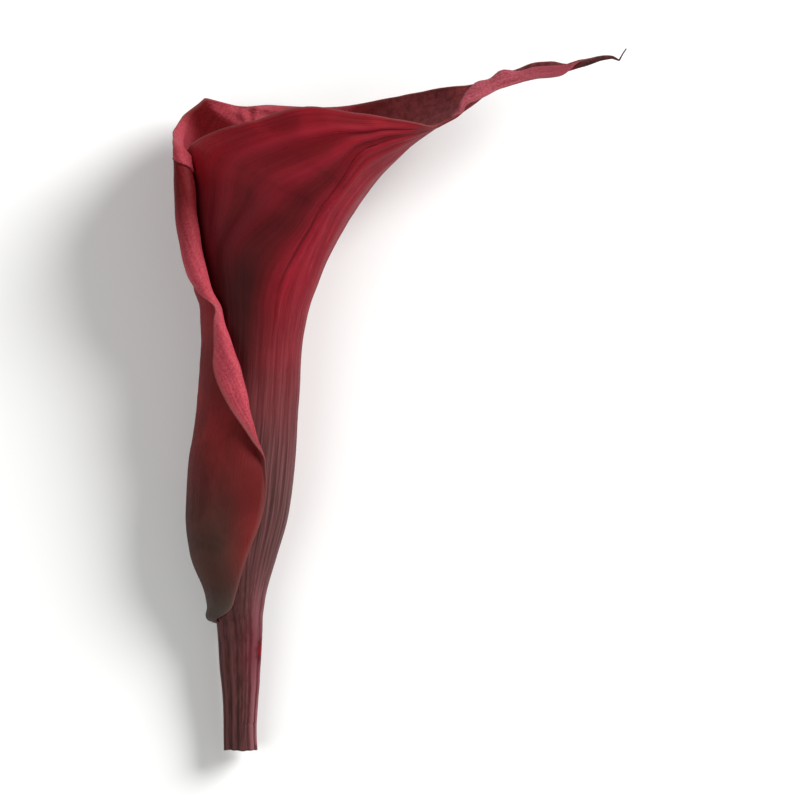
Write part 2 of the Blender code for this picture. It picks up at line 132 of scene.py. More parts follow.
# One row for each cross-section of the spathe, from the stem to the tip:
# keel x, keel y, direction from the keel into the mouth,
# near half: half width, depth, angle round the ellipse, roll radius, roll angle, straight lip,
# far half: the same six.
SECTIONS = (
    (3.9, 19.0, 181, 4.1, 4.1, 170, 0.6, 0, 0.0, 3.6, 3.6, 160, 0.6, 0, 0.0),
    (4.25, 22.0, 181, 4.45, 4.45, 174, 0.6, 0, 0.0, 3.9, 3.9, 170, 0.6, 0, 0.0),
    (4.32, 25.2, 181, 4.6, 4.65, 176, 0.6, 0, 0.0, 4.1, 4.1, 196, 0.6, 0, 0.0),
    (4.34, 25.9, 181, 4.62, 4.72, 176, 0.6, 0, 0.0, 4.9, 5.2, 206, 0.6, 0, 0.0),
    (4.37, 26.5, 181, 4.8, 4.85, 176, 0.6, 0, 0.0, 5.6, 5.8, 228, 0.6, 0, 0.0),
    (4.42, 27.1, 181, 5.0, 5.0, 175, 0.6, 0, 0.0, 5.8, 6.0, 244, 0.6, 0, 0.0),
    (4.6, 28.4, 181, 5.3, 5.2, 174, 0.6, 0, 0.0, 5.7, 6.3, 259, 0.6, 0, 0.0),
    (5.0, 31.0, 181, 5.7, 5.7, 173, 0.6, 0, 0.0, 6.05, 6.8, 269, 0.6, 0, 0.0),
    (7.2, 38.8, 179, 8.1, 8.0, 171, 0.6, 0, 0.0, 8.7, 9.1, 291, 0.6, 0, 0.0),
    (9.5, 47.0, 177, 9.7, 9.4, 170, 0.6, 0, 0.0, 10.3, 10.7, 301, 0.5, 20, 0.0),
    (10.7, 56.0, 175, 10.2, 9.8, 170, 0.6, 0, 0.0, 10.65, 11.3, 294, 0.5, 100, 0.0),
    (11.1, 61.0, 173.5, 10.0, 9.6, 170, 0.6, 0, 0.0, 10.4, 11.0, 281, 0.8, 150, 1.1),
    (11.4, 67.0, 172, 9.8, 9.4, 170, 0.6, 0, 0.0, 10.2, 10.5, 266, 1.1, 170, 2.9),
    (11.8, 72.4, 171, 9.8, 9.4, 170, 0.6, 0, 0.0, 10.2, 10.5, 256.6, 1.3, 180, 4.0),
    (12.0, 77.6, 170, 9.8, 9.6, 169, 0.6, 0, 0.0, 10.15, 10.7, 245, 1.3, 185, 2.2),
    (12.4, 82.0, 169.5, 10.1, 10.0, 168, 0.6, 0, 0.0, 10.45, 11.1, 235.8, 1.0, 170, 0.8),
    (12.9, 84.8, 169, 10.4, 10.4, 168, 0.6, 0, 0.0, 10.8, 11.5, 230.2, 0.9, 120, 0.4),
    (13.4, 87.2, 168.5, 11.0, 10.9, 168, 0.6, 0, 0.0, 11.6, 12.0, 224.4, 1.4, 170, 1.0),
    (14.0, 89.4, 167.5, 11.6, 11.4, 167, 0.6, 0, 0.0, 12.2, 12.5, 220.2, 2.1, 205, 1.0),
    (15.2, 92.6, 165, 12.9, 12.3, 166, 0.6, 0, 0.0, 13.5, 13.4, 217.2, 2.2, 215, 1.0),
    (16.9, 97.0, 162, 14.8, 13.4, 158, 0.6, 0, 0.0, 15.05, 14.8, 214, 2.2, 215, 1.0),
    (19.3, 101.8, 158, 16.65, 14.9, 157, 0.6, 0, 0.0, 17.0, 16.4, 211, 1.9, 210, 0.8),
    (20.9, 104.6, 155, 18.4, 15.9, 155, 0.6, 0, 0.0, 18.45, 17.1, 205, 1.6, 200, 0.6),
    (21.3, 105.3, 154, 18.4, 16.2, 155, 0.6, 5, 0.0, 18.6, 16.9, 189, 1.4, 135, 0.3),
    (21.7, 106.0, 153, 18.2, 16.6, 154, 0.6, 10, 0.0, 18.8, 16.8, 173, 2.2, 80, 0.6),
    (22.5, 107.2, 151, 18.0, 17.0, 145, 0.6, 20, 0.0, 19.2, 16.9, 164, 2.2, 55, 0.4),
    (24.0, 109.5, 146.5, 17.6, 17.4, 126, 0.6, 30, 0.0, 19.1, 17.1, 159, 1.6, 25, 0.0),
    (24.8, 110.6, 145, 16.8, 17.6, 123, 0.6, 30, 0.0, 17.9, 17.3, 139, 2.0, 10, 0.0),
    (26.4, 112.8, 141.5, 16.3, 17.8, 114, 0.6, 35, 0.0, 15.2, 17.6, 122, 1.9, 60, 0.4),
    (28.2, 115.0, 138, 14.8, 17.8, 108, 0.6, 35, 0.0, 13.3, 18.0, 112, 1.8, 65, 0.5),
    (31.4, 118.2, 131, 10.8, 17.0, 91, 0.6, 35, 0.0, 10.7, 17.2, 103, 1.5, 50, 0.3),
    (34.4, 121.0, 124, 5.6, 15.0, 87, 0.6, 25, 0.0, 9.3, 15.2, 97, 1.2, 20, 0.2),
    (36.8, 122.8, 118, 3.3, 13.4, 70, 0.8, 15, 0.0, 8.5, 13.2, 94, 1.0, 0, 0.0),
    (39.4, 124.6, 113, 0.5, 11.0, 40, 0.6, 10, 0.0, 7.3, 11.0, 92, 1.0, 0, 0.0),
    (41.6, 125.8, 111, 0.4, 9.0, 50, 0.5, 20, 0.0, 6.6, 8.8, 92, 1.0, 0, 0.0),
    (43.0, 126.6, 110, 0.35, 7.4, 76, 0.5, 30, 0.0, 6.0, 7.0, 92, 1.0, 0, 0.0),
    (44.5, 127.6, 110, 0.9, 6.0, 88, 0.7, 150, 0.6, 5.2, 5.6, 92, 0.8, 0, 0.0),
    (46.8, 129.2, 111, 1.5, 4.2, 98, 0.8, 165, 2.7, 3.7, 4.0, 94, 0.8, 0, 0.0),
    (48.7, 130.7, 112, 1.6, 3.2, 99, 0.9, 165, 3.3, 2.6, 3.0, 98, 0.8, 0, 0.0),
    (51.2, 132.3, 111, 1.6, 2.3, 99, 0.9, 165, 3.1, 1.7, 2.2, 112, 0.8, 0, 0.0),
    (53.4, 133.0, 106, 1.6, 2.1, 98, 0.9, 165, 2.9, 1.9, 2.0, 114, 0.8, 0, 0.0),
    (57.2, 133.9, 103, 1.05, 2.0, 98, 0.85, 165, 2.2, 2.5, 1.9, 115, 0.8, 0, 0.0),
    (62.8, 134.9, 102, 0.95, 1.7, 90, 0.75, 160, 1.6, 2.45, 1.8, 100, 0.8, 0, 0.0),
    (66.2, 136.0, 106, 1.1, 1.4, 66, 0.6, 110, 0.5, 1.6, 1.4, 74, 0.8, 0, 0.0),
    (69.4, 136.95, 103, 1.2, 1.2, 72, 0.6, 30, 0.0, 1.2, 1.2, 74, 0.8, 0, 0.0),
    (72.4, 137.95, 96, 1.1, 1.0, 57, 0.5, 0, 0.0, 1.1, 1.0, 60, 0.5, 0, 0.0),
    (74.2, 138.15, 88, 0.9, 0.8, 44, 0.4, 0, 0.0, 0.9, 0.8, 46, 0.4, 0, 0.0),
    (75.3, 137.75, 92, 0.7, 0.6, 36, 0.3, 0, 0.0, 0.7, 0.6, 36, 0.3, 0, 0.0),
    (75.75, 137.65, 112, 0.6, 0.5, 30, 0.3, 0, 0.0, 0.6, 0.5, 30, 0.3, 0, 0.0),
    (76.05, 138.1, 150, 0.5, 0.4, 28, 0.3, 0, 0.0, 0.5, 0.4, 28, 0.3, 0, 0.0),
    (76.45, 139.0, 154, 0.4, 0.4, 26, 0.3, 0, 0.0, 0.4, 0.4, 26, 0.3, 0, 0.0),
    (77.2, 140.2, 144, 0.3, 0.3, 20, 0.3, 0, 0.0, 0.3, 0.3, 20, 0.3, 0, 0.0),
)

# Where each half's numbers stand in such a row, and the thickness of leaf that the sections are drawn for
NEAR_HALF = slice(3, 9)
FAR_HALF = slice(9, 15)
MODEL_WALL = 0.65

# The mesh that follows the spathe: steps from the keel to the roll on each side, steps round the roll,
# the least width of leaf that these get, the distance between rows, and the points round each margin
NEAR_STEPS = 74
FAR_STEPS = 56
ROLL_STEPS = 15
ROLL_SPACE = 2.6
ROW_STEP = 0.94
EDGE_STEPS = 3

# Points that a half of a cross-section is measured with: on its ellipse, round its roll and along its lip
ARC_SAMPLES = 200
ROLL_SAMPLES = 60
LIP_SAMPLES = 12

# Columns of the mesh, counted from the near margin: the keel, the far half's fold, and how many there are
KEEL_COLUMN = ROLL_STEPS + NEAR_STEPS
FOLD_COLUMN = KEEL_COLUMN + FAR_STEPS
COLUMNS = FOLD_COLUMN + ROLL_STEPS + 1

# Over how many columns a rolled margin sets in: on the roll, and on the leaf beside it
ROLL_EDGE = (3, 4)

# The half angle, in degrees round the stem, that the leaf's foot covers
FOOT_WRAP = 172

# Four veins of the near half where it opens into the mouth: how far out each lies in the tube, and its way up
FRONT_VEINS = (
    (0.25, ((13.8, 100.0), (16.2, 105.0), (19.8, 111.0), (23.8, 116.0), (28.2, 119.0), (37.8, 123.8))),
    (0.40, ((6.8, 90.6), (9.8, 97.0), (12.8, 102.0), (16.8, 108.6), (20.2, 113.6), (22.8, 118.0),
            (25.8, 120.4), (31.8, 122.4), (37.8, 124.1))),
    (0.68, ((-2.0, 102.0), (0.8, 104.0), (4.2, 108.0), (7.2, 111.0), (11.8, 114.6), (15.8, 116.6),
            (19.8, 119.0), (23.8, 121.6), (28.2, 123.0), (35.8, 123.9))),
    (0.83, ((-0.2, 117.6), (2.8, 120.0), (6.8, 121.6), (11.8, 123.0), (18.2, 123.6), (25.8, 124.0),
            (32.8, 124.6))),
)

# How many radii of the tube one unit across the far half stands for, so that the veins of both halves
# are equally wide
HALF_TURN = 3.0

# Keel heights between which those veins leave their straight way up the tube
VEIN_ROWS = (88.0, 126.0)

# The crossings found for a vein: the least height between two, the spacing at which they are smoothed, over
# how many such steps either way, and the least share of the leaf between two veins
VEIN_GAP = 0.4
VEIN_SPACING = 0.25
VEIN_SMOOTHING = 14
VEIN_LEAST = 0.004

# The soft ribs and furrows of the near half at the mouth: which vein, how wide, how high in millimetres;
# and the height at which ribs take their whole painted highlight, and furrows their whole painted shade
FRONT_RIBS = (
    (0.12, 0.03, 0.16), (0.25, 0.045, 0.3), (0.31, 0.02, -0.16), (0.365, 0.026, 0.32),
    (0.408, 0.016, -0.24), (0.54, 0.065, -0.38), (0.68, 0.045, 0.5), (0.755, 0.03, -0.34),
    (0.83, 0.03, 0.42), (0.93, 0.03, -0.24),
)
FULL_RIB = 0.6

# Ribs all over the leaf, as waves across each half and height, how much they swell and shrink along it, over
# what lengths, and how high they are on the far half
BODY_RIBS = ((5.0, 0.8), (11.0, 0.6), (23.0, 0.3))
RIB_SWELL = 0.4
SWELL_LENGTHS = (14, 26)
FAR_RIBS = 0.45

# Lengths of the waves along the margins, and by how much more they are turned on the near half
RIPPLES = (5.5, 9.0, 15.0)
NEAR_RIPPLE_TURN = 2.3

# Where the far half's rolled fold lies over the near half: x and height
FOLD_LINE = (
    (4.8, 56.2), (3.0, 63.8), (1.4, 68.4), (0.2, 74.4), (-1.6, 79.6), (-3.0, 83.2), (-4.4, 88.2),
    (-6.0, 92.2), (-7.0, 96.0), (-8.0, 100.0), (-9.0, 105.0), (-10.0, 110.0), (-9.8, 115.6), (-10.8, 119.8),
)

# The crease that runs down from the peak of the far rim
PEAK_CREASE = ((-7.4, 130.2), (-6.6, 129.3), (-5.2, 127.7), (-3.6, 126.6), (-0.9, 124.9), (0.4, 124.2))

# The small pleat in the far half's roll: height of the row's keel point, and the extra rows round it; how far
# it laps over at columns from the fold to the margin; how high it steps up, and at which columns
PLEAT_ROW = 103.7
PLEAT_ROWS = np.linspace(-0.4, 0.4, 9)
PLEAT_OVERLAP = ((0, 4.0), (4, 1.7), (ROLL_STEPS, 1.0))
PLEAT_STEP = 0.6
PLEAT_RAISED = (ROLL_STEPS, ROLL_STEPS / 3)

# How far the far rim flares back beside the peak, in millimetres, by the height of the row's keel point; and
# how that sets in across the half
FLARE_BACK = (
    (106.0, 0.0), (107.2, 0.2), (108.3, 0.8), (109.5, 1.8), (110.6, 2.6), (111.7, 2.4), (112.8, 2.0),
    (115.0, 1.4), (118.0, 0.8), (122.0, 0.0),
)
FLARE_ACROSS = (0.76, 1.14)

# Where the rim stands further out or further in than the smooth curve: middle, push and spread
RIM_PUSHES = (
    ((-10.6, 127.6), (-0.65, 0.6), 2.6),
    ((-7.3, 130.0), (-0.5, 0.4), 0.9),
    ((-2.2, 128.4), (0.0, 0.2), 3.0),
    ((3.6, 128.6), (0.0, 0.75), 3.6),
    ((9.8, 128.6), (0.0, 0.4), 3.0),
    ((32.0, 130.6), (0.0, 0.42), 7.0),
    ((51.9, 135.6), (-0.15, 0.28), 0.9),
    ((49.6, 135.4), (0.0, -1.0), 1.4),
    ((55.6, 137.0), (0.0, -0.75), 1.6),
)

# The rim is pushed and held from this far across the far half, and pushed on both halves right of this x
RIM_SHARE = 0.4
TAIL_X = 44.0

# The far half's left outline above the tongue, how softly the leaf is held inside it, and over what height
# that sets in
LEFT_OUTLINE = (
    (-13.3, 110.0), (-13.6, 120.6), (-13.4, 123.7), (-11.5, 126.9), (-9.5, 128.6), (-7.9, 130.0),
    (-6.8, 131.4),
)
OUTLINE_SOFTNESS = 0.2
OUTLINE_START = 2.0

# How the tongue's inner edge is drawn back from the near rim's corner: middle, push and spread
TONGUE_EDGE = ((-9.9, 120.2), (-0.9, 0.0, -0.4), 1.2)

# Small upright folds of the far rim beside the peak: x, width and height in millimetres
RIM_FOLDS = ((0.0, 0.7, 0.75), (1.4, 0.6, -0.6), (2.7, 0.6, 0.45))

# Over how many millimetres the leaf bends where it meets the floor
FLOOR_SOFTNESS = 0.3

# How much of its thickness the leaf has where it runs down the stem, and how much it loses at its tip
FOOT_THICKNESS = 0.2
TIP_THINNING = 0.7

# Where the leaf's forms are. Each is a product of eased steps: what is measured, where the step begins, where
# it is complete, and how much of the form it takes away before it begins, if not all. Heights and lengths are
# in millimetres, and keel is the height of the row's keel point.
FORMS = {
    "ribs": (("across", 0.0, 0.08), ("across", 0.97, 0.8), ("along", 6.0, 40.0)),
    "mouth": (("near", 0, 1), ("keel", 92.0, 101.0), ("keel", 124.0, 118.0)),
    "furrow": (("near", 0, 1), ("beside_fold", 5.0, 0.0), ("height", 66.0, 80.0), ("height", 112.0, 98.0)),
    "tuck": (("share", 0.72, 1.0), ("keel", 25.5, 29.0), ("keel", 54.0, 46.0)),
    "ripple": (("keel", 45.0, 60.0), ("keel", 110.0, 105.0, 0.75)),
    "foot": (("keel", 46.0, 24.0),),
    "rim_folds": (("share", 0.72, 0.86), ("keel", 108.5, 110.0)),
    "pleat_over": (("past_pleat", -0.25, 0.15), ("past_pleat", 3.2, 0.3)),
    "pleat_step": (("past_pleat", -0.1, 0.2), ("past_pleat", 4.0, 0.4)),
    "edge": (("across", 0.86, 1.0),),
    "tip": (("before_tip", 7.0, 1.0),),
    "foot_start": (("along", 0.0, 5.0),),
}

# Where the leaf's colours lie, in the same way
COLOURS = {
    "foot": (("height", 96.0, 50.0),),
    "stalk": (("height", 40.0, 22.0),),
    "olive": (("far", 0, 1), ("keel", 25.2, 26.2), ("height", 66.0, 40.0), ("x", 3.0, -5.0, 0.75)),
    "flap_red": (("far", 0, 1), ("height", 30.0, 40.0), ("height", 94.0, 70.0)),
    # Where a painted sheen lies on the flap, as if lit
    "flap_lit": (("far", 0, 1), ("height", 64.0, 76.0), ("height", 98.0, 92.0)),
    "heel": (("far", 0, 1), ("keel", 25.2, 26.2), ("height", 35.0, 25.0)),
    # Painted shade beside the rolled fold and over the left of the front, where the light falls short
    "shade": (("near", 0, 1), ("front_vein", 0.36, 0.62), ("height", 66.0, 84.0),
              ("height", 102.0, 92.0, 0.3), ("height", 124.0, 102.0), ("beside_fold", 0.2, 2.2, 0.65)),
    # Painted shade in the valley right of the fold
    "valley": (("near", 0, 1), ("height", 84.0, 98.0), ("height", 122.0, 113.0)),
    # The flared rim's inner skin stays rose where it faces the lamps; the rest of the throat takes painted
    # shade
    "flare": (("far", 0, 1), ("over_crease", -0.6, 0.8), ("x", -7.4, -5.4), ("x", 27.0, 18.0),
              ("x", 11.0, 4.0, 0.55)),
    # The far roll's rose, strongest half way up the tube, gone above the pleat and fading higher up; where it
    # gives way the throat's painted shade shows
    "roll": (("keel", 95.0, 88.0, 0.4), ("keel", 57.0, 72.0, 0.5), ("height", 111.5, 99.0, 0.94),
             ("below_pleat", 0, 1)),
    # Painted shade on the roll low down, at its margin and along its fold
    "roll_margin": (("roll_column", 8, ROLL_STEPS),),
    "roll_crest": (("roll_column", 6, 1),),
    "roll_low": (("height", 82.0, 74.0),),
    "strip": (("far", 0, 1), ("below_pleat", 1, 0), ("x", -8.4, -12.6), ("height", 129.0, 124.0, 0.55)),
    "mouth": (("near", 0, 1), ("height", 88.0, 94.0), ("keel", 122.0, 116.0)),
    "lip_side": (("far", 0, 1), ("share", 0.45, 0.3), ("x", 52.0, 49.0)),
    "tail": (("x", 42.0, 43.5),),
    # Painted sheen, with a powdery bloom, on the near half towards the keel
    "dusty": (("near", 0, 1), ("across", 0.55, 0.1)),
    "wall": (("far", 0, 1), ("x", 22.0, 32.0)),
    "dried_tip": (("dry_edge", 65.5, 68.5),),
    # The far wall by the tail, drier and in painted shade
    "shaded_dry_wall": (("far", 0, 1), ("x", 51.0, 55.0)),
    # A painted glowing red under the near rim, standing in for light through the thin leaf
    "glow": (("near", 0, 1), ("height", 110.0, 116.5), ("x", 1.0, -6.5)),
    "fading": (("x", 53.0, 64.0),),
    "margin": (("across", 0.975, 1.0),),
}

# How dull and how velvety the skin of the stem and of the leaf is; its roughness follows its streaks
VELVET = dict(
    specular_ior_level=0.08, sheen_weight=0.03, sheen_roughness=0.4, sheen_tint=(1.0, 0.32, 0.4, 1.0))
SKIN_ROUGHNESS = (0.2, 0.8, 0.5, 0.62)

# How strong the mixed colours are: the painted shade beside the fold, the painted shade in the valley right
# of it with its vein and width, the roll, the painted shade at the roll's margin and along its fold low down,
# the strip over the pleat, the peak's flank, the dry wall by the tail with its painted shade, and the painted
# sheen on the lit flap; and how the dry tip's edge waves, in millimetres and turns
SHADE_DEPTH = 0.92
VALLEY_DEPTH = 0.15
VALLEY_VEIN = 0.53
VALLEY_WIDTH = 0.1
ROLL_ROSE = 0.92
ROLL_MARGIN = 0.55
ROLL_CREST = 0.45
STRIP_ROSE = 0.72
FLARE_ROSE = 0.64
SHADED_DRY_WALL = 0.6
FLAP_SHEEN = 0.3
DRY_WAVE = 0.8
DRY_TURNS = 9

# The photo's frame in the flower's own plane: the middle of the picture and its width
VIEW_MIDDLE = (31.8, 70.0)
VIEW_WIDTH = 160.0

# The floor's gap under the flower, in metres, and the lamps: place, target, width, and their power's setting
FLOOR_GAP = 0.0002
LAMPS = {
    "main_lamp": ((0.85, 0.5, 0.75), (0.0, 0.02, 0.015), 0.7, "key_watts"),
    "fill_lamp": ((-0.6, -0.3, 0.9), (0.0, 0.0, 0.015), 0.9, "fill_watts"),
}


def smooth_rows(knots, rows, places):
    """Cubic curves through the rows, one for each column, that never swing past a row's value."""
    step = np.diff(knots)
    slope = np.diff(rows, axis=0) / step[:, None]
    before = (step[1:] + 2 * step[:-1])[:, None]
    after = (2 * step[1:] + step[:-1])[:, None]
    same_way = slope[1:] * slope[:-1] > 0
    safe_first = np.where(same_way, slope[:-1], 1.0)
    safe_second = np.where(same_way, slope[1:], 1.0)
    tangent = np.zeros_like(rows)
    tangent[1:-1] = np.where(same_way, (before + after) / (after / safe_first + before / safe_second), 0.0)
    tangent[0] = slope[0]
    tangent[-1] = slope[-1]
    k = np.clip(np.searchsorted(knots, places) - 1, 0, len(knots) - 2)
    width = step[k][:, None]
    t = ((places - knots[k]) / step[k])[:, None]
    return ((2 * t**3 - 3 * t**2 + 1) * rows[k] + (t**3 - 2 * t**2 + t) * width * tangent[k]
            + (3 * t**2 - 2 * t**3) * rows[k + 1] + (t**3 - t**2) * width * tangent[k + 1])


def unit(vectors):
    return vectors / np.maximum(np.linalg.norm(vectors, axis=-1, keepdims=True), 1e-9)


def rise(value, span):
    """How far value has come through a span, which may run downwards, eased, from 0 to 1."""
    start, full = span
    t = np.clip((value - start) / (full - start), 0.0, 1.0)
    return t * t * (3 - 2 * t)


def stepped(measures, steps):
    """The product of eased steps that FORMS or COLOURS gives."""
    product = 1.0
    for measure, start, full, *held in steps:
        depth = held[0] if held else 1.0
        product = product * (1 - depth * (1 - rise(measures[measure], (start, full))))
    return product


def bell(value, middle, width):
    """How near value is to the middle, from 0 to 1."""
    return np.exp(-((value - middle) / width) ** 2)


def flower_matrix():
    """From the upright flower, in millimetres, to the lying one, by where the frame's stem lies."""
    low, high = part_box("stem")
    shoulder_height, shoulder_middle, shoulder_radius = STEM[-1]
    neck_height, neck_radius = NECK[-1]
    lean = math.radians(TILT)
    sine, cosine = math.sin(lean), math.cos(lean)
    shift = Vector((
        (low.x + high.x) / 2 - shoulder_middle * MM,
        high.y - (neck_height * cosine + neck_radius * sine) * MM,
        high.z - (shoulder_height * sine + shoulder_radius * cosine) * MM,
    ))
    return Matrix.Translation(shift) @ Matrix.Rotation(lean, 4, "X") @ Matrix.Scale(MM, 4)


def lie_down(points):
    """Points of the upright flower, in millimetres, brought to where the flower lies."""
    matrix = np.array(flower_matrix())
    return points @ matrix[:3, :3].T + matrix[:3, 3]


def solid(name, verts, faces, material):
    """A smooth closed piece with its material."""
    mesh = new_mesh(name, verts, faces)
    mesh.shade_smooth()
    mesh.materials.append(material)
    piece = add_object(name, mesh)
    return piece


def new_mesh(name, verts, faces):
    mesh = bpy.data.meshes.new(name)
    mesh.from_pydata([tuple(v) for v in verts], [], faces)
    return mesh


def add_object(name, data):
    made = bpy.data.objects.new(name, data)
    bpy.context.scene.collection.objects.link(made)
    return made


def point_attribute(mesh, name, values):
    attribute = mesh.attributes.new(name, "FLOAT", "POINT")
    attribute.data.foreach_set("value", np.asarray(values, dtype=np.float32))


# Nodes


class Nodes:
    """Short ways to add nodes to a tree and to feed them."""

    def add(self, kind, inputs=(), **settings):
        made = self.tree.nodes.new(kind)
        for name, value in settings.items():
            setattr(made, name, value)
        for key, value in dict(inputs).items():
            self.feed(made.inputs[key], value)
        return made

    def feed(self, socket, value):
        if isinstance(value, bpy.types.NodeSocket):
            self.tree.links.new(value, socket)
        else:
            socket.default_value = value

    def math(self, operation, first, second=0.0):
        made = self.add("ShaderNodeMath", operation=operation)
        self.feed(made.inputs[0], first)
        self.feed(made.inputs[1], second)
        return made.outputs[0]


class Shader(Nodes):
    """A material's node tree, with the nodes that the flower's finishes need."""

    def __init__(self, name):
        self.material = bpy.data.materials.new(name)
        self.material.use_nodes = True
        self.tree = self.material.node_tree
        self.surface = self.tree.nodes["Principled BSDF"]

    def object_place(self):
        return self.add("ShaderNodeTexCoord").outputs["Object"]

    def leaf_place(self):
        return self.add("ShaderNodeUVMap", uv_map="leaf").outputs["UV"]

    def attribute(self, name):
        return self.add("ShaderNodeAttribute", attribute_name=name).outputs["Fac"]

    def stretched(self, place, scale):
        return self.add("ShaderNodeMapping", {"Vector": place, "Scale": scale}).outputs["Vector"]

    def part(self, place, axis):
        return self.add("ShaderNodeSeparateXYZ", {"Vector": place}).outputs[axis]

    def noise(self, place, scale, detail=2.0, roughness=0.5, distortion=0.0):
        made = self.add("ShaderNodeTexNoise", {
            "Vector": place, "Scale": scale, "Detail": detail, "Roughness": roughness,
            "Distortion": distortion,
        })
        return made.outputs["Fac"]

    def streaks(self, place, scale, detail=2.0, roughness=0.5):
        """Noise that is drawn out, by how many waves there are per metre along each axis."""
        return self.noise(self.stretched(place, scale), 1.0, detail, roughness)

    def plus(self, first, second):
        return self.math("ADD", first, second)

    def times(self, first, second):
        return self.math("MULTIPLY", first, second)

    def mixed(self, first, share, second):
        """The first value's share and, for the rest, the second value."""
        return self.plus(self.times(first, share), self.times(second, 1 - share))

    def span(self, value, low, high, to_low=0.0, to_high=1.0):
        """Value between low and high, eased, as a number between to_low and to_high."""
        made = self.add("ShaderNodeMapRange", {
            "Value": value, "From Min": low, "From Max": high, "To Min": to_low, "To Max": to_high,
        }, interpolation_type="SMOOTHSTEP")
        return made.outputs["Result"]

    def blend(self, share, first, second):
        made = self.add("ShaderNodeMix", data_type="RGBA")
        self.feed(made.inputs["Factor"], share)
        self.feed(made.inputs["A"], first)
        self.feed(made.inputs["B"], second)
        return made.outputs["Result"]

    def layers(self, skin, *layers):
        """The skin with layers on it, each given by its share and its colour."""
        for share, tone in layers:
            skin = self.blend(share, skin, tone)
        return skin

    def tones(self, settings, name, share):
        """Between the dark and the light colour that the settings hold under a name."""
        dark, light = (colour(*getattr(settings, name + end)) for end in ("_dark", "_light"))
        return self.blend(share, dark, light)

    def bump(self, height, distance, strength, under=None):
        made = self.add("ShaderNodeBump", {"Height": height, "Distance": distance, "Strength": strength})
        if under is not None:
            self.feed(made.inputs["Normal"], under)
        return made.outputs["Normal"]

    def finish(self, **sockets):
        for name, value in sockets.items():
            self.feed(self.surface.inputs[name.replace("_", " ").title().replace("Ior", "IOR")], value)
        return self.material


def colour(red, green, blue):
    return (red, green, blue, 1.0)


# The spathe


def half_section(keel, lean, half, side, steps):
    """Points of one half of a cross-section, and how far round it each one is, from 0 to 1."""
    width, depth, wrap, radius, sweep, lip = half
    wrap, sweep = math.radians(wrap), math.radians(sweep)
    inward = np.array([math.cos(lean), math.sin(lean), 0.0])
    sideways = np.array([0.0, 0.0, side])
    skin = min(MODEL_WALL / 2, width / 2)
    width, depth = width - skin, depth - skin
    turn = np.linspace(0.0, wrap, ARC_SAMPLES)[:, None]
    curve = keel + skin * inward + width * (1 - np.cos(turn)) * inward + depth * np.sin(turn) * sideways
    heading = unit(width * math.sin(wrap) * inward + depth * math.cos(wrap) * sideways)
    outward = unit(width * math.sin(wrap) * sideways - depth * math.cos(wrap) * inward)
    roll = np.linspace(0.0, sweep, ROLL_SAMPLES)[1:, None]
    rolled = curve[-1] + radius * ((1 - np.cos(roll)) * outward + np.sin(roll) * heading)
    last = math.sin(sweep) * outward + math.cos(sweep) * heading
    straight = rolled[-1] + np.linspace(0.0, lip, LIP_SAMPLES)[1:, None] * last
    whole = np.vstack([curve, rolled, straight])
    run = np.concatenate([[0.0], np.cumsum(np.linalg.norm(np.diff(whole, axis=0), axis=1))])
    least = min(ROLL_SPACE / run[-1], ROLL_STEPS / (steps + ROLL_STEPS))
    knee = min(run[len(curve) - 1] / run[-1], 1 - least)
    shares = np.concatenate([np.linspace(0.0, knee, steps + 1), np.linspace(knee, 1.0, ROLL_STEPS + 1)[1:]])
    points = np.column_stack([np.interp(shares * run[-1], run, whole[:, axis]) for axis in range(3)])
    return points, shares


def cross_section(row):
    """Points right across the leaf, from the near margin over the keel to the far margin."""
    keel = np.array([row[0], row[1], 0.0])
    lean = math.radians(row[2])
    near, near_share = half_section(keel, lean, row[NEAR_HALF], 1.0, NEAR_STEPS)
    far, far_share = half_section(keel, lean, row[FAR_HALF], -1.0, FAR_STEPS)
    return np.vstack([near[::-1], far[1:]]), np.concatenate([-near_share[::-1], far_share[1:]])


def keel_line():
    """Distance along the keel, and the height there, for each row of SECTIONS."""
    keel = np.array(SECTIONS)[:, :2]
    knots = np.concatenate([[0.0], np.cumsum(np.linalg.norm(np.diff(keel, axis=0), axis=1))])
    return knots, keel[:, 1]


def leaf_grid():
    """Rows of points along the leaf, how far across it each is, and how far along the keel each row is."""
    table = np.array(SECTIONS)
    knots, heights = keel_line()
    sections = [cross_section(row)[0] for row in table]
    places = [knots[0]]
    for k in range(len(knots) - 1):
        apart = np.linalg.norm(sections[k + 1] - sections[k], axis=1).max()
        places.extend(np.linspace(knots[k], knots[k + 1], math.ceil(apart / ROW_STEP) + 1)[1:])
    places = np.unique(np.concatenate([places, np.interp(PLEAT_ROW, heights, knots) + PLEAT_ROWS]))
    rows = [cross_section(row) for row in smooth_rows(knots, table, places)]
    return np.array([points for points, _ in rows]), np.array([share for _, share in rows]), places


def surface_normals(grid):
    """Outward normals of a grid of points, averaged over each point's neighbours."""
    normal = unit(np.cross(np.gradient(grid, axis=1), np.gradient(grid, axis=0)))
    for _ in range(2):
        padded = np.pad(normal, ((1, 1), (1, 1), (0, 0)), mode="edge")
        above, below, right, left = padded[2:, 1:-1], padded[:-2, 1:-1], padded[1:-1, 2:], padded[1:-1, :-2]
        normal = unit(2 * normal + above + below + right + left)
    return normal


def roll_share():
    """How much each column belongs to the rolled margin of the near half, and of the far half."""
    column = np.arange(COLUMNS)
    on_roll, beside = ROLL_EDGE
    near = rise(column, (ROLL_STEPS + beside, ROLL_STEPS - on_roll))
    return near, rise(column, (FOLD_COLUMN - beside, FOLD_COLUMN + on_roll))


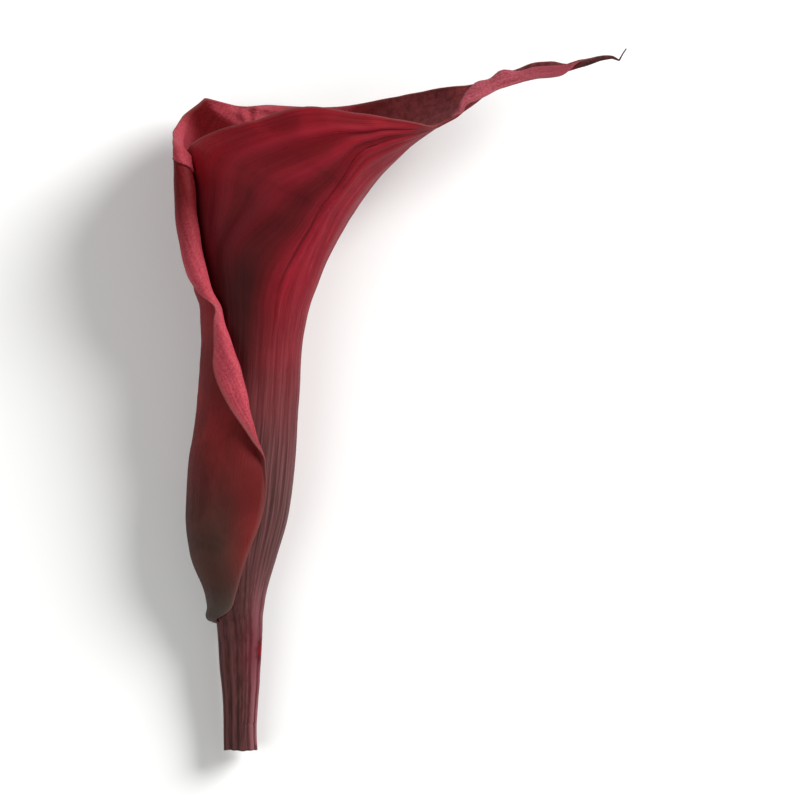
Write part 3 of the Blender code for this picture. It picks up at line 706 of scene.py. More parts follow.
def crossing(row, share, way):
    """Where a row of the near half crosses a line given by its points, as a share of the half, or nothing."""
    xs, heights = np.array(way).T
    above = row[:, 1] - np.interp(row[:, 0], xs, heights)
    within = (row[:, 0] > xs[0]) & (row[:, 0] < xs[-1]) & (share < 0) & (row[:, 2] > 0)
    change = np.flatnonzero(within[1:] & within[:-1] & (above[:-1] > 0) & (above[1:] <= 0))
    if not len(change):
        return None
    c = change[0]
    t = above[c] / (above[c] - above[c + 1])
    return -(share[c] + t * (share[c + 1] - share[c]))


def smoothed(heights, found):
    """Heights and values that were found here and there, as a smooth line, read at the given heights."""
    even = np.arange(heights[0], heights[-1], VEIN_SPACING)
    drawn = np.interp(np.pad(even, VEIN_SMOOTHING, "edge"), *np.array(found).T)
    window = np.hanning(2 * VEIN_SMOOTHING + 3)[1:-1]
    return np.interp(heights, even, np.convolve(drawn, window / window.sum(), "valid"))


def vein_place(grid, share, keel_height):
    """Which vein each point lies on: at the mouth the near half's sweep from the fold towards the tip."""
    heights = keel_height[:, 0]
    knots = [np.zeros(len(heights))]
    for vein, way in FRONT_VEINS:
        found = [(VEIN_ROWS[0], vein)]
        for height, row, row_share in zip(heights, grid, share):
            place = crossing(row, row_share, way) if VEIN_ROWS[0] < height < VEIN_ROWS[1] else None
            if place is not None and height - found[-1][0] > VEIN_GAP:
                found.append((height, place))
        found.append((VEIN_ROWS[1], vein))
        knots.append(smoothed(heights, found))
    knots = np.stack([*knots, np.ones(len(heights))], axis=1)
    apart = VEIN_LEAST * np.arange(knots.shape[1])
    knots = np.maximum.accumulate(knots + apart, axis=1) / (1 + apart[-1])
    veins = np.array([[0.0], *([vein] for vein, _ in FRONT_VEINS), [1.0]])
    across = np.clip(-share, 0.0, 1.0)
    placed = [smooth_rows(row_knots, veins, row)[:, 0] for row_knots, row in zip(knots, across)]
    return np.where(share < 0, -np.array(placed), share)


def far_veins(grid, places):
    """How far round its section each point of the far half lies, so that its veins run straight up."""
    steps = np.linalg.norm(np.diff(grid[:, KEEL_COLUMN:], axis=1), axis=2)
    run = np.concatenate([np.zeros((len(grid), 1)), np.cumsum(steps, axis=1)], axis=1)
    width_and_depth = np.array(SECTIONS)[:, FAR_HALF][:, :2]
    radius = smooth_rows(keel_line()[0], width_and_depth, places).mean(axis=1)
    return run / radius[:, None] / HALF_TURN


def foot_ribs(angle):
    """Lengthwise ribs that run from the stem up into the foot of the leaf."""
    first, (last, last_height) = UPPER_RIBS[0][0], UPPER_RIBS[-1]
    degrees = (np.degrees(angle) - first) % 360 + first
    upper = np.interp(degrees, *np.array(UPPER_RIBS).T)
    lower = last_height * np.cos(2 * math.pi * LOWER_RIBS * (degrees - last) / (first + 360 - last))
    ribs = np.where(degrees < last, upper, lower)
    fine = sum(np.cos(waves * angle + start) for waves, start in FINE_RIBS)
    return RIB_SHARE * ribs + FINE_RIB_SHARE * fine


def leaf_angle(share):
    """The angle round the stem where each part of the leaf's foot lies, with the viewer's side above zero."""
    return np.radians(-share * FOOT_WRAP)


def sun_side(x):
    """How much each point lies on the stem's side towards the main lamp, which is painted lit."""
    return rise(x - STEM[-1][1], LIT_SIDE_EDGE)


def front_ribs(vein):
    """The height of the near half's soft ribs and furrows at the mouth."""
    return sum(height * bell(-vein, place, width) for place, width, height in FRONT_RIBS)


def measured(grid, share, vein, keel_height, places):
    """What the steps measure for each point: near and far are 1 on that half, and vein is 0 at the keel."""
    x, height = grid[..., 0], grid[..., 1]
    near = (share < 0).astype(float)
    fold_x, fold_height = np.array(FOLD_LINE).T
    crease_x, crease_height = np.array(PEAK_CREASE).T
    return {
        "x": x, "height": height, "keel": keel_height, "near": near, "far": 1 - near, "share": share,
        "across": np.abs(share), "front_vein": -vein, "roll_column": np.arange(COLUMNS) - FOLD_COLUMN,
        "along": places[:, None], "before_tip": places[-1] - places[:, None],
        "below_pleat": (keel_height < PLEAT_ROW).astype(float),
        "beside_fold": x - np.interp(height, fold_height, fold_x),
        "over_crease": height - np.interp(x, crease_x, crease_height),
        "dry_edge": x + DRY_WAVE * np.sin(vein * DRY_TURNS),
    }


def leaf_relief(grid, share, vein, keel_height, places, settings):
    """How far each point of the leaf stands out: ribs, furrows, and ripples near its margins."""
    measures = measured(grid, share, vein, keel_height, places)
    wanted = ("ribs", "mouth", "furrow", "tuck", "ripple", "foot")
    form = {name: stepped(measures, FORMS[name]) for name in wanted}
    along = places[:, None]
    near = share < 0
    rng = np.random.default_rng(settings.seed)
    relief = np.zeros_like(share)
    for count, height in BODY_RIBS:
        phase, bend = rng.uniform(0, 2 * math.pi, 2)
        swell = 1 - RIB_SWELL + RIB_SWELL * np.sin(along / rng.uniform(*SWELL_LENGTHS) + phase)
        relief += height * swell * np.sin(count * 2 * math.pi * vein + bend)
    relief *= form["ribs"] * settings.rib_height / MM * np.where(near, 1.0, FAR_RIBS)
    relief += form["mouth"] * front_ribs(vein)
    relief -= settings.fold_furrow / MM * form["furrow"] * (grid[..., 2] > 0)
    relief -= settings.tuck / MM * form["tuck"]
    ripple = np.zeros_like(share)
    for wave in RIPPLES:
        phase = rng.uniform(0, 2 * math.pi)
        ripple += np.sin(2 * math.pi * along / wave + phase * np.where(near, NEAR_RIPPLE_TURN, 1.0))
    margin = np.maximum(*roll_share()) * form["ripple"]
    relief += ripple * margin * settings.ripple / MM / len(RIPPLES)
    return relief + foot_ribs(leaf_angle(share)) * settings.foot_ribs / MM * form["foot"]


def near_to(grid, middle, spread):
    """How near each point is to a place in the flower's own plane, from 0 to 1."""
    return np.exp(-np.sum((grid[..., :2] - middle) ** 2, axis=2) / (2 * spread**2))


def shape_rim(grid, share, keel_height):
    """Flares the far rim back beside the peak, folds it there, and squares the corner on the other side."""
    across = rise(share, FLARE_ACROSS) / rise(1.0, FLARE_ACROSS)
    grid = grid.copy()
    grid[..., 2] -= across * np.interp(keel_height, *np.array(FLARE_BACK).T)
    for middle, push, spread in RIM_PUSHES:
        pushed = near_to(grid, middle, spread) * ((share > RIM_SHARE) | (grid[..., 0] > TAIL_X))
        grid[..., :2] += pushed[..., None] * push
    beside_peak = stepped({"share": share, "keel": keel_height}, FORMS["rim_folds"])
    for x, width, height in RIM_FOLDS:
        grid[..., 2] += height * beside_peak * bell(grid[..., 0], x, width)
    xs, heights = np.array(LEFT_OUTLINE).T
    past = grid[..., 0] - np.interp(grid[..., 1], heights, xs)
    held = OUTLINE_SOFTNESS * np.logaddexp(0.0, past / OUTLINE_SOFTNESS) - past
    along_outline = (share > RIM_SHARE) & (grid[..., 1] > heights[0]) & (grid[..., 1] < heights[-1])
    started = rise(grid[..., 1], (heights[0], heights[0] + OUTLINE_START))
    grid[..., 0] += np.where(along_outline, held, 0.0) * started
    return grid


def rest_on_floor(grid, half):
    """Lifts the leaf where it would sink into the floor, so that it rests there on its outer skin."""
    height = lie_down(grid)[..., 2:] / MM - half
    lifted = FLOOR_SOFTNESS * np.logaddexp(0.0, height / FLOOR_SOFTNESS)
    lean = math.radians(TILT)
    return grid + (lifted - height) * np.array([0.0, math.sin(lean), math.cos(lean)])


def fold_pleat(grid, keel_height):
    """Folds the far half's roll once over itself, where it turns from the side of the mouth to its rim."""
    _, far_roll = roll_share()
    past = keel_height - PLEAT_ROW
    over, step = (stepped({"past_pleat": past}, FORMS[name]) for name in ("pleat_over", "pleat_step"))
    tangent = unit(np.gradient(grid, axis=0))
    column = np.arange(COLUMNS) - FOLD_COLUMN
    overlap = np.interp(column, *np.array(PLEAT_OVERLAP).T)
    raised = PLEAT_STEP * rise(column, PLEAT_RAISED)
    shift = (overlap * over)[..., None] * tangent + (raised * step)[..., None] * surface_normals(grid)
    folded = grid - shift * far_roll[:, None]
    middle, push, spread = TONGUE_EDGE
    drawn = near_to(folded, middle, spread) * far_roll * (past > 0)
    return folded + drawn[..., None] * push


def leaf_thickness(share, places, settings):
    """The leaf is thinner towards its margins, towards its tip and where it runs down the stem."""
    along = places[:, None]
    measures = {"across": np.abs(share), "along": along, "before_tip": places[-1] - along}
    edge, tip, foot = (stepped(measures, FORMS[name]) for name in ("edge", "tip", "foot_start"))
    thick = settings.edge_wall + (settings.wall - settings.edge_wall) * (1 - edge)
    thick = thick * (1 - TIP_THINNING * tip)
    return thick / MM * (FOOT_THICKNESS + (1 - FOOT_THICKNESS) * foot)


def painted(grid, share, vein, keel_height, places):
    """Where each colour of the leaf lies, as shares from 0 to 1 for each point of the grid."""
    measures = measured(grid, share, vein, keel_height, places)
    part = {name: stepped(measures, steps) for name, steps in COLOURS.items()}
    _, far_roll = roll_share()
    # Painted shade in the valley right of the fold
    valley = VALLEY_DEPTH * part["valley"] * bell(-vein, VALLEY_VEIN, VALLEY_WIDTH)
    # Painted shade on the roll low down, at its margin and along its fold
    sides = ROLL_MARGIN * part["roll_margin"] + ROLL_CREST * part["roll_crest"]
    roll = ROLL_ROSE * far_roll * part["roll"] * (1 - sides * part["roll_low"])
    tail = np.maximum(measures["near"], part["lip_side"]) * part["tail"]
    # The mouth's soft ribs as painted highlights on their tops and painted shade in the furrows
    waves = np.clip(front_ribs(vein) * part["mouth"] / FULL_RIB, -1.0, 1.0)
    plain = ("foot", "stalk", "olive", "flap_red", "heel", "wall", "mouth", "glow", "fading", "margin")
    return {name: part[name] for name in plain} | {
        # Painted shade beside the rolled fold
        "dusk": np.minimum(SHADE_DEPTH * part["shade"] + valley, SHADE_DEPTH),
        # Painted sheen, with a powdery bloom, towards the keel and on the lit part of the flap
        "dusty": part["dusty"] + FLAP_SHEEN * part["flap_lit"],
        "rose": np.maximum.reduce([roll, STRIP_ROSE * part["strip"], FLARE_ROSE * part["flare"], tail]),
        "tail": tail,
        # The dried tip, and the far wall by the tail in painted shade with the dried colour
        "dried": np.maximum(part["dried_tip"], SHADED_DRY_WALL * part["shaded_dry_wall"]),
        # The stem's side towards the main lamp, painted lit
        "sun_side": sun_side(grid[..., 0]),
        # The ribs of the stem and the leaf's foot, painted lighter as highlights
        "rib": foot_ribs(leaf_angle(share)) * 0.5 + 0.5,
        "bruise": bruise_share(grid),
        # Painted highlights on the ribs' tops and painted shade in the furrows at the mouth
        "crest": np.maximum(waves, 0.0),
        "trough": np.maximum(-waves, 0.0),
    }


def closed_leaf(outer, inner, grid):
    """One closed loop of points for each row: the outer skin, the far edge, the inner skin, the near edge."""
    turn = np.linspace(0.0, math.pi, EDGE_STEPS + 2)[1:-1]

    def rounded(column, beyond):
        middle = (outer[:, column] + inner[:, column]) / 2
        half = (outer[:, column] - inner[:, column]) / 2
        reach = unit(grid[:, column] - grid[:, beyond]) * np.linalg.norm(half, axis=1, keepdims=True)
        return np.stack([middle + half * math.cos(t) + reach * math.sin(t) for t in turn], axis=1)

    far_edge = rounded(-1, -2)
    near_edge = rounded(0, 1)[:, ::-1]
    return np.concatenate([outer, far_edge, inner[:, ::-1], near_edge], axis=1)


def loop_faces(rows, loop, columns):
    """Quads between the loops, and a strip of faces that closes the leaf at each end."""
    faces = []
    for r in range(rows - 1):
        for c in range(loop):
            d = (c + 1) % loop
            faces.append((r * loop + c, r * loop + d, (r + 1) * loop + d, (r + 1) * loop + c))
    far_edge = columns + EDGE_STEPS
    for start, flip in ((0, True), ((rows - 1) * loop, False)):
        last = far_edge + columns - 1
        strip = [(c, c + 1, last - 1 - c, last - c) for c in range(columns - 1)]
        strip.append(tuple(range(columns - 1, far_edge + 1)))
        strip.append((*range(last, loop), 0))
        for face in strip:
            ids = tuple(start + v for v in face)
            faces.append(ids[::-1] if flip else ids)
    return faces


def stalk_colour(shader, place):
    """The stem's streaked skin, which runs on into the leaf's foot: brown, painted rose and lighter towards
    the main lamp.
    """
    settings = bpy.context.scene.calla_stem
    bruise, span = shader.attribute("bruise"), shader.span
    streak = shader.streaks(place, (1900.0, 70.0, 1900.0), detail=3.0, roughness=0.65)
    # The ribs painted lighter as highlights, over the random streaks
    tone = span(shader.mixed(shader.attribute("rib"), 0.42, streak), 0.32, 0.66)
    lit, shaded = shader.tones(settings, "rose", tone), shader.tones(settings, "brown", tone)
    # Painted light: rose on the side towards the main lamp, brown on the other
    skin = shader.blend(shader.attribute("sun_side"), shaded, lit)
    flush = shader.times(shader.math("POWER", bruise, 0.13), 0.8)
    patchy = shader.noise(place, 900.0, detail=4.0, roughness=0.65)
    ragged = shader.times(bruise, span(patchy, 0.25, 0.75, 0.5, 1.5))
    skin = shader.layers(
        skin,
        (flush, colour(*settings.flush)),
        (span(ragged, 0.1, 0.55), colour(*settings.bruise_rim)),
        (span(ragged, 0.6, 0.9), colour(*settings.bruise)),
    )
    return skin, streak


def spathe_material(settings):
    """Velvety burgundy skin with lengthwise veins, browner towards the stem, rose on its rolled margins, with
    painted shade, highlights, sheen and a glowing red.
    """
    shader = Shader("spathe_skin")
    place, leaf = shader.object_place(), shader.leaf_place()
    attribute, span, plus, times = shader.attribute, shader.span, shader.plus, shader.times

    streak = shader.streaks(leaf, (1500.0, 45.0, 1.0), detail=3.0, roughness=0.6)
    vein = shader.streaks(leaf, (3000.0, 110.0, 1.0))
    fibre_and_glint = shader.streaks(leaf, (2300.0, 38.0, 1.0), roughness=0.7)
    thread = shader.streaks(leaf, (3300.0, 120.0, 1.0), detail=3.0, roughness=0.75)
    cloud = shader.noise(place, 90.0, detail=4.0, distortion=0.4)
    speckle = shader.noise(place, 2600.0, roughness=0.7)
    blotch = shader.noise(place, 700.0, detail=3.0, roughness=0.6)
    clouded, blotched = span(cloud, 0.35, 0.65), span(blotch, 0.35, 0.65)

    # The front's sharp crease: a line of painted shade, and a groove cut in the bump
    line = shader.math("ABSOLUTE", plus(shader.part(leaf, "X"), settings.crease_place))
    crease = times(span(line, 0.0, settings.crease_width, 1.0, 0.0), attribute("mouth"))
    # Pale fibres near the keel, with painted glints on them
    pale = plus(span(fibre_and_glint, 0.56, 0.7), span(thread, 0.55, 0.64))
    fibrous = plus(0.06, times(attribute("dusty"), 0.28))

    def tones(name, share):
        return shader.tones(settings, name, share)

    # The dark red of the painted shade
    dusk = colour(*settings.dusk)
    stalk, _ = stalk_colour(shader, place)
    outer = shader.layers(
        tones("outer", span(shader.mixed(cloud, 0.6, streak), 0.38, 0.62)),
        # Painted sheen, with a powdery bloom, towards the keel
        (times(attribute("dusty"), span(vein, 0.3, 0.7, 0.45, 1.0)), colour(*settings.outer_bloom_and_sheen)),
        (times(pale, fibrous), colour(*settings.fibre_and_glint)),
        # Dark threads between the pale ones, in the painted shade's dark red
        (times(span(thread, 0.36, 0.46, 1.0, 0.0), fibrous), dusk),
        # Painted highlights on the ribs' tops at the mouth and painted shade in the furrows
        (times(attribute("crest"), 0.5), colour(*settings.crest)),
        (times(attribute("trough"), 0.5), colour(*settings.trough)),
        # A painted glowing red under the rim, standing in for light through the thin leaf
        (attribute("glow"), colour(*settings.glow)),
        # Painted shade along the crease
        (times(crease, 0.42), dusk),
        (attribute("foot"), tones("foot", span(streak, 0.32, 0.7))),
        (attribute("stalk"), stalk),
        (attribute("flap_red"), tones("flap", clouded)),
        (attribute("olive"), tones("olive", clouded)),
        (attribute("heel"), colour(*settings.heel)),
        # Painted shade beside the rolled fold
        (attribute("dusk"), dusk),
    )
    grain = span(shader.mixed(speckle, 0.6, streak), 0.38, 0.62)
    lip = tones("tail", span(shader.mixed(speckle, 0.45, vein), 0.4, 0.6))
    lip = shader.blend(times(attribute("fading"), 0.75), lip, colour(*settings.tail_dark))
    inner = shader.layers(
        # The throat's inner skin in painted shade, rose where it faces the lamps
        tones("deep", grain),
        (attribute("rose"), tones("rose", grain)),
        (attribute("wall"), tones("wall", blotched)),
        (attribute("tail"), lip),
    )
    skin = shader.layers(
        outer,
        (attribute("inside"), inner),
        (attribute("dried"), tones("dried", blotched)),
        (times(attribute("margin"), 0.35), colour(*settings.margin)),
    )
    cut_in = shader.math("SUBTRACT", plus(vein, thread), times(crease, 1.5))
    nap = shader.bump(speckle, 0.00003, 0.5, under=shader.bump(cut_in, 0.00015, 0.6))
    return shader.finish(
        base_color=skin, roughness=span(streak, *SKIN_ROUGHNESS), normal=nap, **VELVET,
        subsurface_weight=0.1, subsurface_radius=(1.0, 0.2, 0.15), subsurface_scale=0.001,
    )


def build_spathe(settings):
    """The whole leaf: a grid of points that is shaped, thickened, laid on the floor and coloured."""
    grid, share, places = leaf_grid()
    keel_height = np.interp(places, *keel_line())[:, None]
    vein = vein_place(grid, share, keel_height)
    vein[:, KEEL_COLUMN:] = far_veins(grid, places)
    paint = painted(grid, share, vein, keel_height, places)
    grid = fold_pleat(shape_rim(grid, share, keel_height), keel_height)
    relief = leaf_relief(grid, share, vein, keel_height, places, settings)
    grid = grid + surface_normals(grid) * relief[..., None]
    half = leaf_thickness(share, places, settings)[..., None] / 2
    grid = rest_on_floor(grid, half)
    normal = surface_normals(grid)
    loops = closed_leaf(grid + normal * half, grid - normal * half, grid)
    rows, loop = loops.shape[:2]
    verts = lie_down(loops.reshape(-1, 3))
    verts[:, 2] = np.maximum(verts[:, 2], 0.0)
    faces = loop_faces(rows, loop, COLUMNS)
    piece = solid("spathe_leaf", verts, faces, spathe_material(settings))

    def round_loop(values):
        far_edge = np.repeat(values[:, -1:], EDGE_STEPS, axis=1)
        near_edge = np.repeat(values[:, :1], EDGE_STEPS, axis=1)
        return np.concatenate([values, far_edge, values[:, ::-1], near_edge], axis=1).reshape(-1)

    for name, values in paint.items():
        point_attribute(piece.data, name, round_loop(np.broadcast_to(values, share.shape)))
    edge = np.linspace(0.0, 1.0, EDGE_STEPS + 2)[1:-1]
    inside = np.concatenate([np.zeros(COLUMNS), edge, np.ones(COLUMNS), edge[::-1]])
    point_attribute(piece.data, "inside", np.tile(inside, rows))
    along = np.broadcast_to(places[:, None], share.shape)
    flat = np.stack([round_loop(vein) * settings.half_width, round_loop(along) * MM], axis=1)
    uv = piece.data.uv_layers.new(name="leaf")
    corner = np.zeros(len(piece.data.loops), dtype=np.int32)
    piece.data.loops.foreach_get("vertex_index", corner)
    uv.data.foreach_set("uv", flat[corner].astype(np.float32).reshape(-1))
    return piece


# The stem


def stem_material(settings):
    """Ribbed skin that the leaf's foot shares, with a pale cut end and a bruise."""
    shader = Shader("stem_skin")
    place = shader.object_place()
    grain = shader.noise(place, 2400.0)
    skin, streak = stalk_colour(shader, place)
    pith = shader.tones(settings, "pith", shader.span(grain, 0.35, 0.7))
    ridges = shader.bump(streak, 0.00015, 0.5)
    return shader.finish(
        base_color=shader.blend(shader.attribute("cut"), skin, pith),
        roughness=shader.span(streak, *SKIN_ROUGHNESS),
        normal=shader.bump(grain, 0.00003, 0.4, under=ridges), **VELVET,
    )


def stem_rows(settings):
    """Heights, middles and radii up the stem and its neck, close enough for its ribs to run smoothly."""
    shoulder, middle, _ = STEM[-1]
    table = np.array([*STEM, *((height, middle, radius) for height, radius in NECK)])
    ribbed = np.arange(0.0, shoulder, settings.row_step / MM)
    heights = np.concatenate([ribbed, np.linspace(shoulder, NECK[-1][0], NECK_ROWS)])
    return heights, smooth_rows(table[:, 0], table[:, 1:], heights)


def build_stem(settings):
    """The ribbed stem: rings from its cut face up to the neck inside the leaf."""
    sides = settings.sides
    angles = np.linspace(0.0, 2 * math.pi, sides, endpoint=False)
    rng = np.random.default_rng(settings.seed)
    ribs = foot_ribs(-angles)
    shoulder = STEM[-1][0]
    rings = []
    for height, (middle, radius) in zip(*stem_rows(settings)):
        fade = rise(height, (shoulder, shoulder - RIB_FADE))
        nick = bell(height, NICK_HEIGHT, NICK_REACH) * rise(np.cos(angles - NICK_ANGLE), NICK_SIDES)
        ribbed = radius + fade * ribs * settings.rib_height / MM
        reach = ribbed - (1 - fade) * SHOULDER_INSET - NICK_DEPTH * nick
        ring = [middle + reach * np.cos(angles), np.full(sides, height), -reach * np.sin(angles)]
        rings.append(np.column_stack(ring))
    rings = np.array(rings)
    corner = np.cos(angles - CORNER_ANGLE)
    worn = sum(size * np.cos(waves * angles + start) for waves, start, size in CUT_WAVES)
    worn = worn + CORNER_HEIGHT * rise(corner, CORNER_SIDES)
    rings[..., 1] += worn * rise(rings[..., 1], (CUT_REACH, 0.0))
    start, cut_rings = cut_end(rings[0], rng)
    points = np.concatenate([np.array(cut_rings), rings])
    ends = np.array([start, points[-1].mean(axis=0)])
    verts = lie_down(np.concatenate([points.reshape(-1, 3), ends]))
    piece = solid("stem_stalk", verts, tube_faces(len(points), sides), stem_material(settings))
    cut = np.zeros((len(points), sides))
    cut[:len(cut_rings)] = 1.0
    cut[len(cut_rings) - 1] = CUT_EDGE
    cut[len(cut_rings) - 2:len(cut_rings)] *= rise(corner, CORNER_SKIN)
    flat = points.reshape(-1, 3)
    attributes = {
        "bruise": (bruise_share(flat), [0.0, 0.0]),
        # The ribs' painted highlights
        "rib": (np.tile(ribs * 0.5 + 0.5, len(points)), [0.5, 0.5]),
        "cut": (cut.reshape(-1), [1.0, 0.0]),
        # The side towards the main lamp, painted lit
        "sun_side": (sun_side(flat[:, 0]), [0.5, 0.5]),
    }
    for name, values in attributes.items():
        point_attribute(piece.data, name, np.concatenate(values))
    return piece


def cut_end(ring, rng):
    """Rings that step in from the stem's lowest ring to its cut end, a little rough and chamfered."""
    middle = ring.mean(axis=0)
    rings = []
    for share in CUT_RINGS:
        shrunk = middle + (ring - middle) * share
        rough = rng.uniform(0.0, CUT_ROUGHNESS, len(ring)) * (share < CUT_RINGS[-1])
        shrunk[:, 1] += rough + CUT_CHAMFER
        rings.append(shrunk)
    return middle + np.array([0.0, CUT_MIDDLE, 0.0]), rings


def bruise_share(points):
    """How bruised each point is."""
    return np.exp(-np.sum(((points - np.array(BRUISE_PLACE)) / np.array(BRUISE_REACH)) ** 2, axis=-1))


def tube_faces(rings, sides):
    """Quads between rings, with a fan to one extra point at each end."""
    faces = []
    for r in range(rings - 1):
        for s in range(sides):
            t = (s + 1) % sides
            faces.append((r * sides + s, r * sides + t, (r + 1) * sides + t, (r + 1) * sides + s))
    first, last, top = rings * sides, rings * sides + 1, (rings - 1) * sides
    for s in range(sides):
        t = (s + 1) % sides
        faces.append((first, t, s))
        faces.append((last, top + s, top + t))
    return faces


# The spadix


class Tree(Nodes):
    """A Geometry Nodes tree with named inputs."""

    def __init__(self, name, sizes):
        self.tree = bpy.data.node_groups.new(name, "GeometryNodeTree")
        face = self.tree.interface
        face.new_socket("Geometry", in_out="INPUT", socket_type="NodeSocketGeometry")
        for label, kind in sizes:
            face.new_socket(label, in_out="INPUT", socket_type=kind)
        face.new_socket("Geometry", in_out="OUTPUT", socket_type="NodeSocketGeometry")
        self.given = self.tree.nodes.new("NodeGroupInput").outputs
        self.result = self.tree.nodes.new("NodeGroupOutput").inputs

    def moved(self, mesh, **settings):
        """The mesh with a translation or a scale."""
        return self.add("GeometryNodeTransform", {"Geometry": mesh, **settings}).outputs["Geometry"]

    def join(self, *parts):
        made = self.add("GeometryNodeJoinGeometry")
        for part in parts:
            self.tree.links.new(part, made.inputs["Geometry"])
        return made.outputs["Geometry"]


def anther_shape(tree):
    """One stamen seen from outside: two rounded pollen sacs side by side."""
    cube = tree.add("GeometryNodeMeshCube", {"Size": (0.62, 0.78, 0.9)})
    soft = tree.add("GeometryNodeSubdivisionSurface", {"Mesh": cube.outputs["Mesh"], "Level": 1})
    sacs = [tree.moved(soft.outputs["Mesh"], Translation=(side, 0.0, 0.0)) for side in (-0.26, 0.26)]
    return tree.join(*sacs)


def ovary_shape(tree):
    """One ovary: a plump green berry-to-be with a short style and a pale, domed stigma."""
    body = tree.add("GeometryNodeMeshUVSphere", {"Segments": 12, "Rings": 8, "Radius": 0.5})
    style = tree.add("GeometryNodeMeshCylinder", {"Vertices": 8, "Radius": 0.11, "Depth": 0.3})
    stigma = tree.add("GeometryNodeMeshUVSphere", {"Segments": 10, "Rings": 6, "Radius": 0.17})
    return tree.join(
        tree.moved(body.outputs["Mesh"], Scale=(1.0, 1.0, 0.9)),
        tree.moved(style.outputs["Mesh"], Translation=(0.0, 0.0, 0.52)),
        tree.moved(stigma.outputs["Mesh"], Translation=(0.0, 0.0, 0.68), Scale=(1.0, 1.0, 0.6)),
    )


def floret_tree(name, shape):
    """Florets in a golden-angle spiral up a straight finger along Z, each facing outwards."""
    tree = Tree(name, (
        ("Florets", "NodeSocketInt"), ("Start", "NodeSocketFloat"), ("End", "NodeSocketFloat"),
        ("Root Radius", "NodeSocketFloat"), ("Middle Radius", "NodeSocketFloat"),
        ("Tip Radius", "NodeSocketFloat"), ("Size", "NodeSocketFloat"), ("Unevenness", "NodeSocketFloat"),
        ("Seed", "NodeSocketInt"), ("Finish", "NodeSocketMaterial"),
    ))
    given = tree.given
    points = tree.add("GeometryNodePoints", {"Count": given["Florets"]})
    index = tree.add("GeometryNodeInputIndex").outputs["Index"]
    share = tree.math("DIVIDE", index, given["Florets"])
    turn = tree.math("MULTIPLY", index, GOLDEN_ANGLE)
    height = tree.add("ShaderNodeMapRange", {
        "Value": share, "To Min": given["Start"], "To Max": given["End"]})
    low = tree.add("ShaderNodeMapRange", {
        "Value": share, "From Max": 0.5, "To Min": given["Root Radius"], "To Max": given["Middle Radius"]},
        interpolation_type="SMOOTHSTEP")
    radius = tree.add("ShaderNodeMapRange", {
        "Value": share, "From Min": 0.5, "To Min": low.outputs["Result"], "To Max": given["Tip Radius"]},
        interpolation_type="SMOOTHERSTEP")
    facing = tree.add("ShaderNodeCombineXYZ", {"X": tree.math("COSINE", turn), "Y": tree.math("SINE", turn)})
    ring = tree.add("ShaderNodeVectorMath", {
        0: facing.outputs[0], "Scale": radius.outputs["Result"]}, operation="SCALE")
    lift = tree.add("ShaderNodeCombineXYZ", {"Z": height.outputs["Result"]})
    place = tree.add("ShaderNodeVectorMath", {0: ring.outputs[0], 1: lift.outputs[0]}, operation="ADD")
    placed = tree.add("GeometryNodeSetPosition", {
        "Geometry": points.outputs["Points"], "Position": place.outputs[0]})
    upright = tree.add("FunctionNodeAlignRotationToVector", {"Vector": facing.outputs[0]}, axis="Z")
    wobble = tree.add("FunctionNodeRandomValue", {
        0: (-0.25, -0.25, -0.4), 1: (0.25, 0.25, 0.4), "Seed": given["Seed"]}, data_type="FLOAT_VECTOR")
    turned = tree.add("FunctionNodeRotateRotation", {
        "Rotation": upright.outputs[0], "Rotate By": wobble.outputs[0]}, rotation_space="LOCAL")
    low_size = tree.math("SUBTRACT", given["Size"], given["Unevenness"])
    high_size = tree.math("ADD", given["Size"], given["Unevenness"])
    size = tree.add("FunctionNodeRandomValue", {
        2: low_size, 3: high_size, "Seed": given["Seed"]}, data_type="FLOAT")
    florets = tree.add("GeometryNodeInstanceOnPoints", {
        "Points": placed.outputs["Geometry"], "Instance": shape(tree),
        "Rotation": turned.outputs[0], "Scale": size.outputs[1]})
    whole = tree.join(given["Geometry"], florets.outputs["Instances"])
    real = tree.add("GeometryNodeRealizeInstances", {"Geometry": whole})
    smooth = tree.add("GeometryNodeSetShadeSmooth", {"Geometry": real.outputs["Geometry"]})
    dressed = tree.add("GeometryNodeSetMaterial", {
        "Geometry": smooth.outputs["Geometry"], "Material": given["Finish"]})
    tree.feed(tree.result["Geometry"], dressed.outputs["Geometry"])
    return tree.tree


def finger_core(start, end, radii):
    """The smooth straight finger under the florets, along Z, closed at both ends."""
    share = np.linspace(0.0, 1.0, FINGER_ROWS)
    radius = np.interp(share, (0.0, 0.5, 1.0), radii)
    angles = np.linspace(0.0, 2 * math.pi, FINGER_SIDES, endpoint=False)
    heights = start + share * (end - start)
    rings = [np.column_stack([r * np.cos(angles), r * np.sin(angles), np.full(FINGER_SIDES, height)])
             for height, r in zip(heights, radius)]
    ends = np.array([[0.0, 0.0, start], [0.0, 0.0, end]])
    return np.concatenate([*rings, ends]), tube_faces(FINGER_ROWS, FINGER_SIDES)


